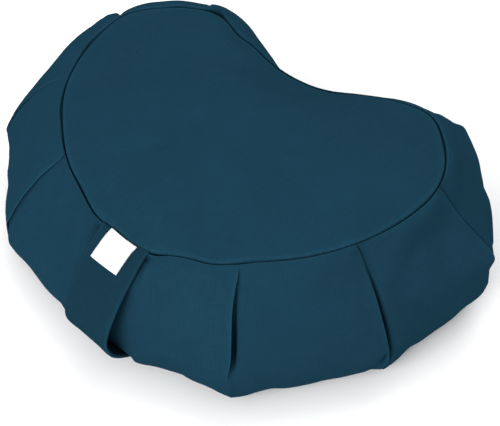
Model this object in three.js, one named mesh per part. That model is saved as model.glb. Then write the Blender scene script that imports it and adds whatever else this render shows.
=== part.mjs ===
// A crescent meditation cushion: a crowned crescent panel on top, a flat one below, and a filled wall
// between them that is gathered into knife pleats. A wide loop of doubled cloth is its carry handle.
// Millimetres, +Z up, resting on z = 0. +X runs from lobe to lobe, and the handle faces -Y.

import * as THREE from 'three';

// The crescent, seen from above: a wide front arc, two round lobes and the hollow between them.
const FRONT_RADIUS = 168;
const LOBE_RADIUS = 77.5;
const LOBE_SPACING = 180;
const HOLLOW_RADIUS = 81;
const FAN_CENTRE_Y = -54.6;

// Heights and the bulge of the wall.
const SEAM_HEIGHT = 124;
const SEAM_RISE = 0.054;
const SEAM_DIP = { deep: 5, x: 105, y: 70, wide: 55 };
const CROWN = 17;
const CROWN_FULLNESS = 2.4;
const BULGE = 46;
const BULGE_HEIGHT = 46;
const HOLLOW_BULGE = 4;
const FLOOR_REACH = 15;
const HOLLOW_FLOOR_REACH = 4;
const HOLLOW_FADE = { from: 0.1, over: 0.6, wide: 70 };

// How the top seam strays from the crescent. at: where along it, from the front's middle to the right;
// wide: over how far; out and down: how far it is pulled out and down, most where the handle hangs on it.
// STRAY_FADE is how fast that dies away towards the panel's middle, and STRAY_LEVEL where it ends below.
const STRAY_FADE = 4;
const STRAY_LEVEL = 0.5;
const SEAM_STRAYS = [
  { at: -400, wide: 25, out: -6, down: 0 },
  { at: -285, wide: 22, out: 4, down: 0 },
  { at: -135, wide: 35, out: -2.5, down: 0 },
  { at: -34, wide: 22, out: 4.8, down: 3.3 },
  { at: 12, wide: 30, out: 8.6, down: 6 },
  { at: 70, wide: 22, out: 3.8, down: 2.6 },
  { at: 352, wide: 24, out: 7, down: 0 },
  { at: 412, wide: 25, out: -4, down: 0 },
  { at: 445, wide: 20, out: -2, down: 0 },
];

// Cloth and the clearances between the pieces.
const PANEL_THICKNESS = 2.4;
const BASE_THICKNESS = 2.2;
const GAP = 0.3;
const BASE_INSET = 6;

// The handle: its width, its thickness and how the wall gives way under it.
const STRAP_WIDTH = 49;
const STRAP_CENTRE = -2;
const STRAP_THICKNESS = 3;
const STRAP_END_THICKNESS = 1.2;
const STRAP_SHOULDER = 20;
const STRAP_MARGIN = 7;
const STRAP_CLEARANCE = 0.9;

// The label on the handle.
const LABEL_WIDTH = 28;
const LABEL_LENGTH = 27;
const LABEL_THICKNESS = 0.8;
const LABEL_DROP = 0.5;
const LABEL_SKEW = -4;

// Colours and roughness of the cloth.
const TEAL = 0x1c4353;
const DEEP_TEAL = 0x17384a;
const WHITE = 0xe9ebea;
const CANVAS_ROUGHNESS = 0.88;
const LABEL_ROUGHNESS = 0.8;

// The handle's outer face at its middle: how far out from the crescent's line, how high, and how much
// further its right edge stands out than its left. It starts in the seam, just out of it and above it.
const STRAP_START = { out: 0.8, up: 1 };
const STRAP_PATH = [
  { out: 16, up: 117, twist: 0 },
  { out: 25, up: 110.5, twist: 0 },
  { out: 34, up: 102.5, twist: 2 },
  { out: 41, up: 94, twist: 5 },
  { out: 47, up: 85, twist: 7 },
  { out: 52.5, up: 75, twist: 8 },
  { out: 56.5, up: 65, twist: 8 },
  { out: 58.5, up: 55, twist: 7 },
  { out: 57, up: 45, twist: 5 },
  { out: 53, up: 35.5, twist: 4 },
  { out: 46.5, up: 27, twist: 3 },
  { out: 38.5, up: 19, twist: 2 },
  { out: 30, up: 11, twist: 1 },
  { out: 22.5, up: 4, twist: 0 },
  { out: 14, up: 0, twist: 0 },
  { out: 5, up: 0, twist: 0 },
  { out: -4.5, up: 0, twist: 0 },
];

// The knife pleats, from the front's middle round to the right, along the top seam. at: where the fold
// starts; lean: how far along the seam it has moved by the bulge; bow: how much further it strays along
// the seam on its way down; fold: how far the cloth laps, 1 for a full lap; step: how much further in the
// cloth below the fold starts; gap: how far the pleat opens at its widest; low: how far down that is, from
// 0 at the top seam to 1 at the floor; push: how far the corner stands out; taut: how straight the fold
// runs from the seam to the bulge; before: the same on the lapping side, where it differs. Then, for the
// cloth up to the next pleat, flat: how flat it lies; full: how much of the tautness it loses at its
// middle; columns: how many steps it is drawn in.
const PLEATS = [
  pleat({ at: -434, lean: 4, fold: 0.7, gap: 0.5, push: 9, taut: 0.3 }, { flat: 0.4, columns: 5 }),
  pleat({ at: -353, lean: -6, gap: 1.5, low: 0.4, push: 6, taut: 0.2 }, { flat: 0.65 }),
  pleat({ at: -277, lean: 8, gap: 1.5, low: 0.45, push: 10, before: 0.6, taut: 0.2 }, { flat: 0.55 }),
  pleat({ at: -191, lean: 4, gap: 1.5, push: 15, taut: 0.4 }, { flat: 0.85, columns: 4 }),
  pleat({ at: -99, lean: -9, fold: 1, gap: 2, push: 12, taut: 0.8 }, { flat: 0.4, columns: 8 }),
  pleat({ at: -9, fold: 0, push: -1, taut: 0.2 }, { flat: 0.65, full: 0.5, columns: 8 }),
  pleat({ at: 93, bow: -3, fold: 1.1, step: 1, gap: 9, low: 0.64, push: 9, taut: 0.5 }, { flat: 0.9 }),
  pleat({ at: 184, lean: 5, fold: 1, gap: 3, low: 0.62, push: 7, taut: 0.8 }, { flat: 0.95 }),
  pleat(
    { at: 271, lean: 2, bow: 10, fold: 1, step: 3, gap: 3, push: 9, taut: 0.8 },
    { flat: 0.6, columns: 7 },
  ),
  pleat({ at: 356, lean: 4, gap: 1.5, low: 0.45, push: 22, taut: 0.4 }, { full: 0.1, columns: 6 }),
  pleat({ at: 436, lean: -3, fold: 0.7, gap: 0.5, push: 0, taut: 0.9 }, { flat: 0.25, full: 0.1 }),
];

function pleat(fold, cloth) {
  const usual = { lean: 0, bow: 0, fold: 0.9, step: 5, gap: 0, low: 0.5, flat: 0.7, full: 0.7, columns: 3 };
  return { ...usual, before: fold.taut, ...fold, ...cloth };
}

// One pleat's columns across the fold, from the lapping side to the cloth below it. side: whose face
// the column is measured from; along: millimetres from the fold's edge; sewn: the same column where the
// pleat is sewn flat; depth: how far in from the face; open: how much of the pleat's gap is added.
const FOLD = [
  { side: 'lapping', along: -16, sewn: -16, depth: 0, open: 0 },
  { side: 'lapping', along: -4, sewn: -5, depth: 0.2, open: 0 },
  { side: 'lapping', along: 0, sewn: -2.4, depth: 1.8, open: 0 },
  { side: 'lapping', along: -7, sewn: -1.2, depth: 3.4, open: 0.3 },
  { side: 'lapping', along: -7.6, sewn: 0, depth: 4.8, open: 0.6 },
  { side: 'below', along: 0, sewn: 1.2, depth: 0.6, open: 1 },
  { side: 'below', along: 7, sewn: 7, depth: 0.3, open: 0.6 },
  { side: 'below', along: 19, sewn: 19, depth: 0, open: 0 },
];

// Levels down the wall: 0 is the top seam, BULGE_LEVEL the bulge and 1 the floor. A ramp rises from
// the top seam to full at its first level, and falls away from its second level to the floor.
const BULGE_LEVEL = 0.6;
const LEAN_END = 0.75;
const BOW = { level: 0.42, spread: 0.18 };
const GAP_SPREAD = 0.22;
const SEWN_DEPTH = 0.1;
const FLAT_RAMP = [0.4, 0.85];
const PUSH_RAMP = [0.6, 0.8];
const OPEN_RAMP = [0.16, 0.86];
const TOP_LEVEL = 0.03;
const LEVELS = [
  0, TOP_LEVEL, 0.08, 0.15, 0.22, 0.29, 0.36, 0.43, 0.5,
  0.57, 0.64, 0.71, 0.78, 0.85, 0.92, 0.97, 1,
];
const PANEL_RINGS = [0.97, 0.88, 0.74, 0.55, 0.3];
const BASE_RINGS = [0.5];

const HALF_SPACING = LOBE_SPACING / 2;
const FRONT_CENTRE_Y = Math.sqrt((FRONT_RADIUS - LOBE_RADIUS) ** 2 - HALF_SPACING ** 2);
const HOLLOW_CENTRE_Y = Math.sqrt((HOLLOW_RADIUS + LOBE_RADIUS) ** 2 - HALF_SPACING ** 2);
const FRONT_TURN = Math.PI / 2 - Math.atan2(FRONT_CENTRE_Y, HALF_SPACING);
const LOBE_TURN = Math.atan2(HOLLOW_CENTRE_Y, -HALF_SPACING) + Math.PI / 2 - FRONT_TURN;
const HOLLOW_TURN = FRONT_TURN + LOBE_TURN - Math.PI;
const FRONT_LENGTH = FRONT_RADIUS * FRONT_TURN;
const LOBE_LENGTH = LOBE_RADIUS * LOBE_TURN;
const HOLLOW_LENGTH = HOLLOW_RADIUS * HOLLOW_TURN;
const SEAM_LENGTH = 2 * (FRONT_LENGTH + LOBE_LENGTH + HOLLOW_LENGTH);

const clamp = (value, low, high) => Math.min(high, Math.max(low, value));
const mix = (a, b, share) => a + (b - a) * share;

function smooth(value, low, high) {
  const share = clamp((value - low) / (high - low), 0, 1);
  return share * share * (3 - 2 * share);
}

// A place on the top seam, s millimetres round from the front's middle, towards +X: where it is, which
// way is out, and how much the seam bends there.
function seam(s) {
  const round = s - SEAM_LENGTH * Math.round(s / SEAM_LENGTH);
  const side = round < 0 ? -1 : 1;
  const along = Math.abs(round);
  let turn;
  let radius;
  let centre;
  if (along < FRONT_LENGTH) {
    turn = along / FRONT_RADIUS;
    radius = FRONT_RADIUS;
    centre = [0, FRONT_CENTRE_Y];
  } else if (along < FRONT_LENGTH + LOBE_LENGTH) {
    turn = FRONT_TURN + (along - FRONT_LENGTH) / LOBE_RADIUS;
    radius = LOBE_RADIUS;
    centre = [HALF_SPACING, 0];
  } else {
    turn = FRONT_TURN + LOBE_TURN - (along - FRONT_LENGTH - LOBE_LENGTH) / HOLLOW_RADIUS;
    radius = -HOLLOW_RADIUS;
    centre = [0, HOLLOW_CENTRE_Y];
  }
  const outX = Math.sin(turn);
  const outY = -Math.cos(turn);
  return {
    x: side * (centre[0] + radius * outX),
    y: centre[1] + radius * outY,
    outX: side * outX,
    outY,
    bend: 1 / radius,
  };
}

// How far the seam strays out and down at s.
function stray(s) {
  const total = { out: 0, down: 0 };
  SEAM_STRAYS.forEach(({ at, wide, out, down }) => {
    const away = (s - at - SEAM_LENGTH * Math.round((s - at) / SEAM_LENGTH)) / wide;
    const share = Math.exp(-(away ** 2));
    total.out += out * share;
    total.down += down * share;
  });
  return total;
}

// How far a place lies in the hollow, from 0 outside it to 1 at its middle.
function inHollow(place) {
  const turned = clamp((place.outY - HOLLOW_FADE.from) / HOLLOW_FADE.over, 0, 1);
  return turned * Math.exp(-((place.x / HOLLOW_FADE.wide) ** 2));
}

// The seam runs up a little from left to right, and dips at the back of the right lobe.
function seamHeight(x, y) {
  const away = Math.hypot(x - SEAM_DIP.x, y - SEAM_DIP.y) / SEAM_DIP.wide;
  return SEAM_HEIGHT + SEAM_RISE * x - SEAM_DIP.deep * Math.exp(-(away ** 2));
}

// The wall's section at a place: how far out and how high it is at a level, and which way it faces.
function section(place, level, taut) {
  const hollow = inHollow(place);
  const bulge = mix(BULGE, HOLLOW_BULGE, hollow);
  const reach = mix(FLOOR_REACH, HOLLOW_FLOOR_REACH, hollow);
  const rise = seamHeight(place.x, place.y) - BULGE_HEIGHT;
  if (level < BULGE_LEVEL) {
    const turn = (level / BULGE_LEVEL) * (Math.PI / 2);
    const spread = bulge * mix(Math.sin(turn), 1 - Math.cos(turn), taut);
    const facing = Math.atan2(bulge * mix(Math.cos(turn), Math.sin(turn), taut), rise * Math.sin(turn));
    return { out: spread, up: BULGE_HEIGHT + rise * Math.cos(turn), facing };
  }
  const turn = ((level - BULGE_LEVEL) / (1 - BULGE_LEVEL)) * (Math.PI / 2);
  const facing = -Math.atan2((bulge - reach) * Math.sin(turn), BULGE_HEIGHT * Math.cos(turn));
  return {
    out: reach + (bulge - reach) * Math.cos(turn),
    up: BULGE_HEIGHT * (1 - Math.sin(turn)),
    facing,
  };
}

// Where a pleat's fold lies along the seam at a level.
function foldEdge(pleat, level) {
  const bowed = Math.exp(-(((level - BOW.level) / BOW.spread) ** 2)) * smooth(level, 0, BOW.spread);
  return pleat.at + pleat.lean * smooth(level, 0, LEAN_END) + pleat.bow * bowed;
}

// How far a fold or a corner is worked out at a level: not at all at the top seam and at the floor.
const ramp = (level, [full, fading]) => smooth(level, 0, full) * (1 - smooth(level, fading, 1));

function pleatAfter(index) {
  const next = (index + 1) % PLEATS.length;
  const lap = next === 0 ? SEAM_LENGTH : 0;
  return { ...PLEATS[next], at: PLEATS[next].at + lap };
}

// A point on the face of the cloth between pleat index and the next, with the way the face looks. The
// cloth is pulled towards the flat between the two pleats.
function face(index, s, level) {
  const left = PLEATS[index];
  const right = pleatAfter(index);
  const start = foldEdge(left, level);
  const end = foldEdge(right, level);
  const share = clamp((s - start) / (end - start), 0, 1);
  const step = left.step * left.fold * ramp(level, OPEN_RAMP);
  const corner = (at, push, taut) => {
    const place = seam(at);
    const out = section(place, level, taut).out + push * ramp(level, PUSH_RAMP);
    return [place.x + place.outX * out, place.y + place.outY * out];
  };
  const place = seam(s);
  const loss = left.full * 4 * share * (1 - share);
  const cut = section(place, level, mix(left.taut, right.before, share) * (1 - loss));
  const from = corner(start, left.push, left.taut);
  const to = corner(end, right.push, right.before);
  const push = mix(left.push, right.push, share) * ramp(level, PUSH_RAMP) - step * (1 - share);
  const flat = left.flat * ramp(level, FLAT_RAMP);
  const pull = stray(s);
  const near = 1 - smooth(level, 0, STRAY_LEVEL);
  const sunk = flat * step * (1 - share);
  const x = mix(place.x + place.outX * (cut.out + push), mix(from[0], to[0], share), flat);
  const y = mix(place.y + place.outY * (cut.out + push), mix(from[1], to[1], share), flat);
  return {
    x: x + place.outX * (pull.out * near - sunk),
    y: y + place.outY * (pull.out * near - sunk),
    z: cut.up - pull.down * near,
    place,
    cut,
  };
}

// The outer face of the handle at x: its path, twisted so that its right edge stands out more.
function strapFace(x) {
  const sag = FRONT_RADIUS - Math.sqrt(FRONT_RADIUS ** 2 - x ** 2);
  const pull = stray(x);
  const start = { out: pull.out + STRAP_START.out, up: SEAM_HEIGHT - pull.down + STRAP_START.up, twist: 0 };
  return [start, ...STRAP_PATH].map(({ out, up, twist }, index) => {
    const middle = Math.sin((Math.PI * index) / STRAP_PATH.length);
    return {
      out: out - sag * (1 - middle) + (twist * (x - STRAP_CENTRE)) / STRAP_WIDTH,
      up: up + SEAM_RISE * x * (up / SEAM_HEIGHT),
    };
  });
}

// How far a point, out from the front's middle and up, stands out past the handle's inner side.
function pastStrap(out, up, path) {
  let best = { distance: Infinity, past: 0 };
  for (let i = 1; i < path.length; i += 1) {
    const run = { out: path[i].out - path[i - 1].out, up: path[i].up - path[i - 1].up };
    const length = Math.hypot(run.out, run.up);
    const from = { out: out - path[i - 1].out, up: up - path[i - 1].up };
    const share = clamp((from.out * run.out + from.up * run.up) / length ** 2, 0, 1);
    const away = { out: from.out - share * run.out, up: from.up - share * run.up };
    const distance = Math.hypot(away.out, away.up);
    if (distance < best.distance) {
      best = { distance, past: (away.out * -run.up + away.up * run.out) / length };
    }
  }
  return best.past + STRAP_THICKNESS + STRAP_CLEARANCE;
}

// Presses a point of the wall in where the handle lies on it.
function underStrap(point, level) {
  const beside = Math.max(0, Math.abs(point.x - STRAP_CENTRE) - STRAP_WIDTH / 2 - STRAP_MARGIN);
  if (point.y > 0 || beside > STRAP_SHOULDER) return point;
  const frontY = FRONT_CENTRE_Y - FRONT_RADIUS;
  const x = clamp(point.x, STRAP_CENTRE - STRAP_WIDTH / 2, STRAP_CENTRE + STRAP_WIDTH / 2);
  const past = pastStrap(frontY - point.y, point.z, strapFace(x));
  const press = Math.max(0, past) * (1 - smooth(beside, 0, STRAP_SHOULDER)) * smooth(level, 0, TOP_LEVEL);
  const { outX, outY } = point.place;
  const across = Math.cos(point.cut.facing);
  return {
    ...point,
    x: point.x - outX * across * press,
    y: point.y - outY * across * press,
    z: Math.max(0, point.z - Math.sin(point.cut.facing) * press),
  };
}

// How high the floor ring is lifted over the handle's lower end, which is sewn in at the base's seam.
function overStrapEnd(x) {
  const beside = Math.abs(x - STRAP_CENTRE) - STRAP_WIDTH / 2;
  return (STRAP_THICKNESS + STRAP_CLEARANCE) * (1 - smooth(beside, STRAP_MARGIN, 2 * STRAP_MARGIN));
}

// The columns of the wall, each with its petal, its place between the pleats and its fold's column.
function wallColumns() {
  const columns = [];
  PLEATS.forEach((pleat, index) => {
    const before = (index + PLEATS.length - 1) % PLEATS.length;
    FOLD.forEach((fold) => columns.push({ pleat, index: fold.side === 'lapping' ? before : index, fold }));
    for (let step = 1; step <= pleat.columns; step += 1) {
      columns.push({ pleat, index, share: step / (pleat.columns + 1) });
    }
  });
  return columns;
}

// Where the wall's columns stand along the top seam. The panels are drawn in the same steps.
const seamPlaces = (columns) => columns.map((column) => columnPlace(column, 0).s);

// Where a column stands along the seam at a level, and how deep it is folded in.
function columnPlace(column, level) {
  const edge = foldEdge(column.pleat, level);
  if (!column.fold) {
    const end = foldEdge(pleatAfter(column.index), level);
    const clear = FOLD.at(-1).sewn;
    return { s: mix(edge + clear, end + FOLD[0].sewn, column.share), depth: 0 };
  }
  const { pleat, fold } = column;
  const open = ramp(level, OPEN_RAMP);
  const place = seam(edge);
  const stretch = 1 + section(place, level, pleat.taut).out * place.bend;
  const along = mix(fold.sewn, fold.along * pleat.fold, open * Math.min(1, pleat.fold));
  const widest = Math.exp(-(((level - pleat.low) / GAP_SPREAD) ** 2));
  const depth = (fold.depth * pleat.fold + fold.open * pleat.gap * widest) * mix(SEWN_DEPTH, 1, open);
  return { s: edge + along / stretch, depth };
}

// A point of the wall. The first fold's lapping side belongs to the last petal, a whole turn further on.
function wallPoint(column, level) {
  const { s, depth } = columnPlace(column, level);
  const closing = column.pleat === PLEATS[0] && column.index > 0;
  const point = face(column.index, closing ? s + SEAM_LENGTH : s, level);
  const across = Math.cos(point.cut.facing) * depth;
  const down = level === 1 ? 0 : Math.sin(point.cut.facing) * depth;
  const { outX, outY } = point.place;
  const sunk = {
    ...point,
    x: point.x - outX * across,
    y: point.y - outY * across,
    z: Math.max(0, point.z - down),
  };
  const pressed = underStrap(sunk, level);
  return new THREE.Vector3(pressed.x, pressed.y, pressed.z);
}

// A crescent ring: the seam's line drawn in by inset, then scaled about the fan's centre.
function crescentPoint(s, inset, scale) {
  const place = seam(s);
  return {
    x: (place.x - place.outX * inset) * scale,
    y: FAN_CENTRE_Y + (place.y - place.outY * inset - FAN_CENTRE_Y) * scale,
  };
}

// A point of the top panel's face, where the seam's line has been scaled in by scale.
function crownPoint(s, inset, scale) {
  const { out, down } = stray(s);
  const near = scale ** STRAY_FADE;
  const { x, y } = crescentPoint(s, inset - out * near, scale);
  return new THREE.Vector3(x, y, seamHeight(x, y) - down * near + CROWN * (1 - scale ** CROWN_FULLNESS));
}

const lowered = (point, drop) => new THREE.Vector3(point.x, point.y, point.z - drop);

// A closed body from rings of points, from the point that closes the top to the one under the bottom.
function closedBody(rings, first, last) {
  const count = rings[0].length;
  const points = [first, ...rings.flat(), last];
  const faces = [];
  for (let i = 0; i < count; i += 1) {
    const next = (i + 1) % count;
    faces.push(0, 1 + i, 1 + next);
    for (let ring = 0; ring < rings.length - 1; ring += 1) {
      const upper = 1 + ring * count;
      const lower = upper + count;
      faces.push(upper + i, lower + i, lower + next);
      faces.push(upper + i, lower + next, upper + next);
    }
    const end = 1 + (rings.length - 1) * count;
    faces.push(end + i, points.length - 1, end + next);
  }
  return bodyGeometry(points, faces);
}

function bodyGeometry(points, faces) {
  const geometry = new THREE.BufferGeometry();
  const numbers = points.flatMap((point) => point.toArray());
  geometry.setAttribute('position', new THREE.Float32BufferAttribute(numbers, 3));
  geometry.setIndex(faces);
  geometry.computeVertexNormals();
  return geometry;
}

// A named piece of cloth.
function cloth(name, geometry, color, roughness) {
  const mesh = new THREE.Mesh(geometry, new THREE.MeshStandardMaterial({ color, roughness, metalness: 0 }));
  mesh.name = name;
  return mesh;
}

// The filled wall: the crown under the top panel, the pleated face, and the floor ring round the base.
function sideWall() {
  const columns = wallColumns();
  const seamAt = seamPlaces(columns);
  const bed = PANEL_THICKNESS + GAP;
  const crownRing = (scale) => seamAt.map((s) => lowered(crownPoint(s, 0, scale), bed));
  const wall = LEVELS.map((level) => columns.map((column) => wallPoint(column, level)));
  const floorRing = (inset, scale, z) => seamAt.map((s) => {
    const { x, y } = crescentPoint(s, inset, scale);
    return new THREE.Vector3(x, y, Math.max(z, y < 0 && scale === 1 ? overStrapEnd(x) : 0));
  });
  const recess = BASE_THICKNESS + GAP;
  const rings = [
    ...[...PANEL_RINGS].reverse().map(crownRing),
    crownRing(1),
    ...wall,
    floorRing(BASE_INSET, 1, 0),
    floorRing(BASE_INSET, 1, recess),
    ...BASE_RINGS.map((scale) => floorRing(BASE_INSET, scale, recess)),
  ];
  const top = lowered(crownPoint(0, 0, 0), bed);
  const bottom = new THREE.Vector3(0, FAN_CENTRE_Y, recess);
  return cloth('side_wall', closedBody(rings, top, bottom), TEAL, CANVAS_ROUGHNESS);
}

// A crescent sheet: rings of points of its upper face, scaled in towards its middle, and its underside.
function crescentSheet(scales, thickness, point) {
  const seamAt = seamPlaces(wallColumns());
  const ring = (scale, drop) => seamAt.map((s) => lowered(point(s, scale), drop));
  const rings = [
    ...[...scales].reverse().map((scale) => ring(scale, 0)),
    ring(1, 0),
    ring(1, thickness),
    ...scales.map((scale) => ring(scale, thickness)),
  ];
  return closedBody(rings, point(0, 0), lowered(point(0, 0), thickness));
}

function topPanel() {
  const geometry = crescentSheet(PANEL_RINGS, PANEL_THICKNESS, (s, scale) => crownPoint(s, GAP, scale));
  return cloth('top_panel', geometry, TEAL, CANVAS_ROUGHNESS);
}

function basePanel() {
  const geometry = crescentSheet(BASE_RINGS, BASE_THICKNESS, (s, scale) => {
    const { x, y } = crescentPoint(s, BASE_INSET + GAP, scale);
    return new THREE.Vector3(x, y, BASE_THICKNESS);
  });
  return cloth('base_panel', geometry, DEEP_TEAL, CANVAS_ROUGHNESS);
}

// A ribbon between two faces: rows of points along it, each from its left edge to its right one.
function ribbon(outer, inner) {
  const across = outer[0].length;
  const loops = outer.map((row, i) => [...row, ...[...inner[i]].reverse()]);
  const count = across * 2;
  const points = loops.flat();
  const faces = [];
  for (let row = 0; row < loops.length - 1; row += 1) {
    for (let i = 0; i < count; i += 1) {
      const next = (i + 1) % count;
      const near = row * count;
      const far = near + count;
      faces.push(near + i, far + i, far + next, near + i, far + next, near + next);
    }
  }
  const end = (loops.length - 1) * count;
  for (let i = 0; i < across - 1; i += 1) {
    const back = count - 1 - i;
    faces.push(i, i + 1, back - 1, i, back - 1, back);
    faces.push(end + i, end + back, end + back - 1, end + i, end + back - 1, end + i + 1);
  }
  return bodyGeometry(points, faces);
}

// A row of points across the handle, at one step of its path and a depth below its outer face.
function strapRow(xs, index, depth) {
  return xs.map((x) => {
    const path = strapFace(x);
    const before = path[Math.max(0, index - 1)];
    const after = path[Math.min(path.length - 1, index + 1)];
    const length = Math.hypot(after.out - before.out, after.up - before.up);
    const inOut = (after.up - before.up) / length;
    const inUp = -(after.out - before.out) / length;
    const frontY = FRONT_CENTRE_Y - FRONT_RADIUS;
    return new THREE.Vector3(x, frontY - (path[index].out + inOut * depth), path[index].up + inUp * depth);
  });
}

function carryHandle() {
  const xs = [-0.5, -0.25, 0, 0.25, 0.5].map((share) => STRAP_CENTRE + share * STRAP_WIDTH);
  const steps = [0, ...STRAP_PATH.map((_, index) => index + 1)];
  const thick = (index) => mix(STRAP_END_THICKNESS, STRAP_THICKNESS, clamp(index, 0, 1));
  const outer = steps.map((index) => strapRow(xs, index, 0));
  const inner = steps.map((index) => strapRow(xs, index, thick(index)));
  return cloth('carry_handle', ribbon(outer, inner), DEEP_TEAL, CANVAS_ROUGHNESS);
}

// The label lies on the handle's outer face, a seam's gap above it, and leans a little to the left.
function sewnLabel() {
  const path = strapFace(STRAP_CENTRE);
  const run = [0];
  for (let i = 1; i < path.length; i += 1) {
    run.push(run[i - 1] + Math.hypot(path[i].out - path[i - 1].out, path[i].up - path[i - 1].up));
  }
  const ends = [LABEL_DROP, LABEL_DROP + LABEL_LENGTH];
  const stops = [ends[0], ...run.filter((at) => at > ends[0] && at < ends[1]), ends[1]];
  const rows = (above) => stops.map((at) => {
    const next = run.findIndex((far) => far >= at);
    const share = (at - run[next - 1]) / (run[next] - run[next - 1]);
    const lean = STRAP_CENTRE + (LABEL_SKEW * (at - LABEL_DROP)) / LABEL_LENGTH;
    const xs = [lean - LABEL_WIDTH / 2, lean, lean + LABEL_WIDTH / 2];
    const far = strapRow(xs, next, -above);
    return strapRow(xs, next - 1, -above).map((point, i) => point.lerp(far[i], share));
  });
  return cloth('sewn_label', ribbon(rows(GAP + LABEL_THICKNESS), rows(GAP)), WHITE, LABEL_ROUGHNESS);
}

// The whole cushion, moved so that the middle of its bounding box is at the origin.
function centred(pieces) {
  const cushion = new THREE.Group();
  cushion.add(...pieces);
  const box = new THREE.Box3().setFromObject(cushion);
  const middle = box.getCenter(new THREE.Vector3());
  cushion.position.set(-middle.x, -middle.y, 0);
  return cushion;
}

export default centred([topPanel(), sideWall(), basePanel(), carryHandle(), sewnLabel()]);
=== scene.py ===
"""Dresses the crescent meditation cushion: dyed canvas, gathered into knife pleats over a loose filling.

The drawing is in millimetres, with the centres of the cushion's two lobes on y = 0, the handle towards
-Y and +Z up. Drawing.place moves it into the shared frame and turns it into metres.
"""

import logging
import math
from dataclasses import dataclass
from enum import Enum

import bpy
import numpy as np
from mathutils import Matrix, Vector


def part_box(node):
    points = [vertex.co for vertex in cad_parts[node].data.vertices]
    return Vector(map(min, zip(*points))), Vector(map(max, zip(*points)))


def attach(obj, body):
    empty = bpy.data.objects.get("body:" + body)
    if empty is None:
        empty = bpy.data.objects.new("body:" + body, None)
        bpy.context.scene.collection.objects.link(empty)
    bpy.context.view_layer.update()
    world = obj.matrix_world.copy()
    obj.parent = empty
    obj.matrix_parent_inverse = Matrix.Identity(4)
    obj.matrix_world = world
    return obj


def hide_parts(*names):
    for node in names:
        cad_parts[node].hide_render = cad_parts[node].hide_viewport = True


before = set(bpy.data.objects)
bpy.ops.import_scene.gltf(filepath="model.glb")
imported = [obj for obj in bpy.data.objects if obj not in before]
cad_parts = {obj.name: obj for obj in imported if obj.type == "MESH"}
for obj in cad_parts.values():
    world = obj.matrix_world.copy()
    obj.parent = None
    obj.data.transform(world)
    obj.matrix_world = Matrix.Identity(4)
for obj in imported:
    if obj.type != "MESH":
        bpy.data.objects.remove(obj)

LOG = logging.getLogger("cushion")
MM = 0.001
TINY = 1e-9
WEAVE_MAP = "weave"
WEAR = "wear"

Array = np.ndarray


def linear(code: str) -> tuple[float, float, float, float]:
    """Turns a colour written as sRGB hex into linear light.

    Args:
        code: Six hex digits, such as "1c4353".

    Returns:
        Red, green, blue and an alpha of 1, in linear light.
    """
    shares = [int(code[i : i + 2], 16) / 255 for i in (0, 2, 4)]
    light = [c / 12.92 if c <= 0.04045 else ((c + 0.055) / 1.055) ** 2.4 for c in shares]
    return (light[0], light[1], light[2], 1.0)


def smooth(value: Array | float, low: float, high: float) -> Array:
    """Rises softly from 0 at low to 1 at high."""
    share = np.clip((np.asarray(value, dtype=float) - low) / (high - low), 0, 1)
    return share * share * (3 - 2 * share)


def mix(a: Array | float, b: Array | float, share: Array | float) -> Array:
    """Goes from a to b as share goes from 0 to 1."""
    return a + (b - a) * share


def bell(value: Array | float) -> Array:
    """A soft bump: 1 at 0, and fading to both sides."""
    return np.exp(-np.square(value))


def spline(rows: Array, steps: int) -> Array:
    """Draws a smooth line through rows of values.

    Args:
        rows: One row of values for each point that the line goes through.
        steps: How many steps the line takes from one point to the next.

    Returns:
        The rows along the line, the first and the last point among them.
    """
    padded = np.vstack([2 * rows[0] - rows[1], rows, 2 * rows[-1] - rows[-2]])
    before, start, end, after = padded[:-3], padded[1:-2], padded[2:-1], padded[3:]
    line = []
    for share in np.arange(steps) / steps:
        bend = 2 * before - 5 * start + 4 * end - after
        twist = 3 * start - before - 3 * end + after
        line.append(start + 0.5 * share * (end - before + share * (bend + share * twist)))
    woven = np.stack(line, axis=1).reshape(-1, rows.shape[1])
    return np.vstack([woven, rows[-1]])


def add_object(name: str, data: bpy.types.ID) -> bpy.types.Object:
    """Makes an object and puts it in the scene.

    Args:
        name: The object's name.
        data: Its mesh, light or camera.

    Returns:
        The object.
    """
    made = bpy.data.objects.new(name, data)
    bpy.context.scene.collection.objects.link(made)
    return made


def fill(node: bpy.types.Node, sockets: dict) -> None:
    """Sets a node's inputs.

    Args:
        node: The node.
        sockets: What goes into each input: a node, whose first output is linked, a socket, or a value.
    """
    for key, value in sockets.items():
        if isinstance(value, bpy.types.Node):
            value = value.outputs[0]
        if isinstance(value, bpy.types.NodeSocket):
            node.id_data.links.new(value, node.inputs[key])
        else:
            node.inputs[key].default_value = value


def add_node(tree: bpy.types.NodeTree, kind: str, sockets: dict | None = None, **settings) -> bpy.types.Node:
    """Adds a node with its settings, values and links.

    Args:
        tree: The tree that the node goes into.
        kind: Blender's name for the node.
        sockets: What goes into each input, as fill takes it.
        settings: Settings of the node.

    Returns:
        The node.
    """
    node = tree.nodes.new(kind)
    for name, value in settings.items():
        setattr(node, name, value)
    fill(node, sockets or {})
    return node


@dataclass(frozen=True)
class Unevenness:
    """Soft lumps in space, made of a few seeded waves that run in all directions."""

    seed: int
    length: float
    height: float
    waves: int = 14
    lengths: tuple[float, float] = (0.7, 1.5)

    def at(self, points: Array) -> Array:
        """Gives how far the cloth stands out at points, in millimetres.

        Args:
            points: Places in millimetres, with x, y and z last.

        Returns:
            One height for each place.
        """
        draw = np.random.default_rng(self.seed)
        ways = draw.normal(size=(self.waves, 3))
        ways /= np.linalg.norm(ways, axis=1)[:, None]
        turns = 2 * math.pi / (self.length * draw.uniform(*self.lengths, self.waves))
        phases = draw.uniform(0, 2 * math.pi, self.waves)
        total = np.sin(points @ (ways * turns[:, None]).T + phases).sum(axis=-1)
        return self.height * total / math.sqrt(self.waves / 2)


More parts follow.
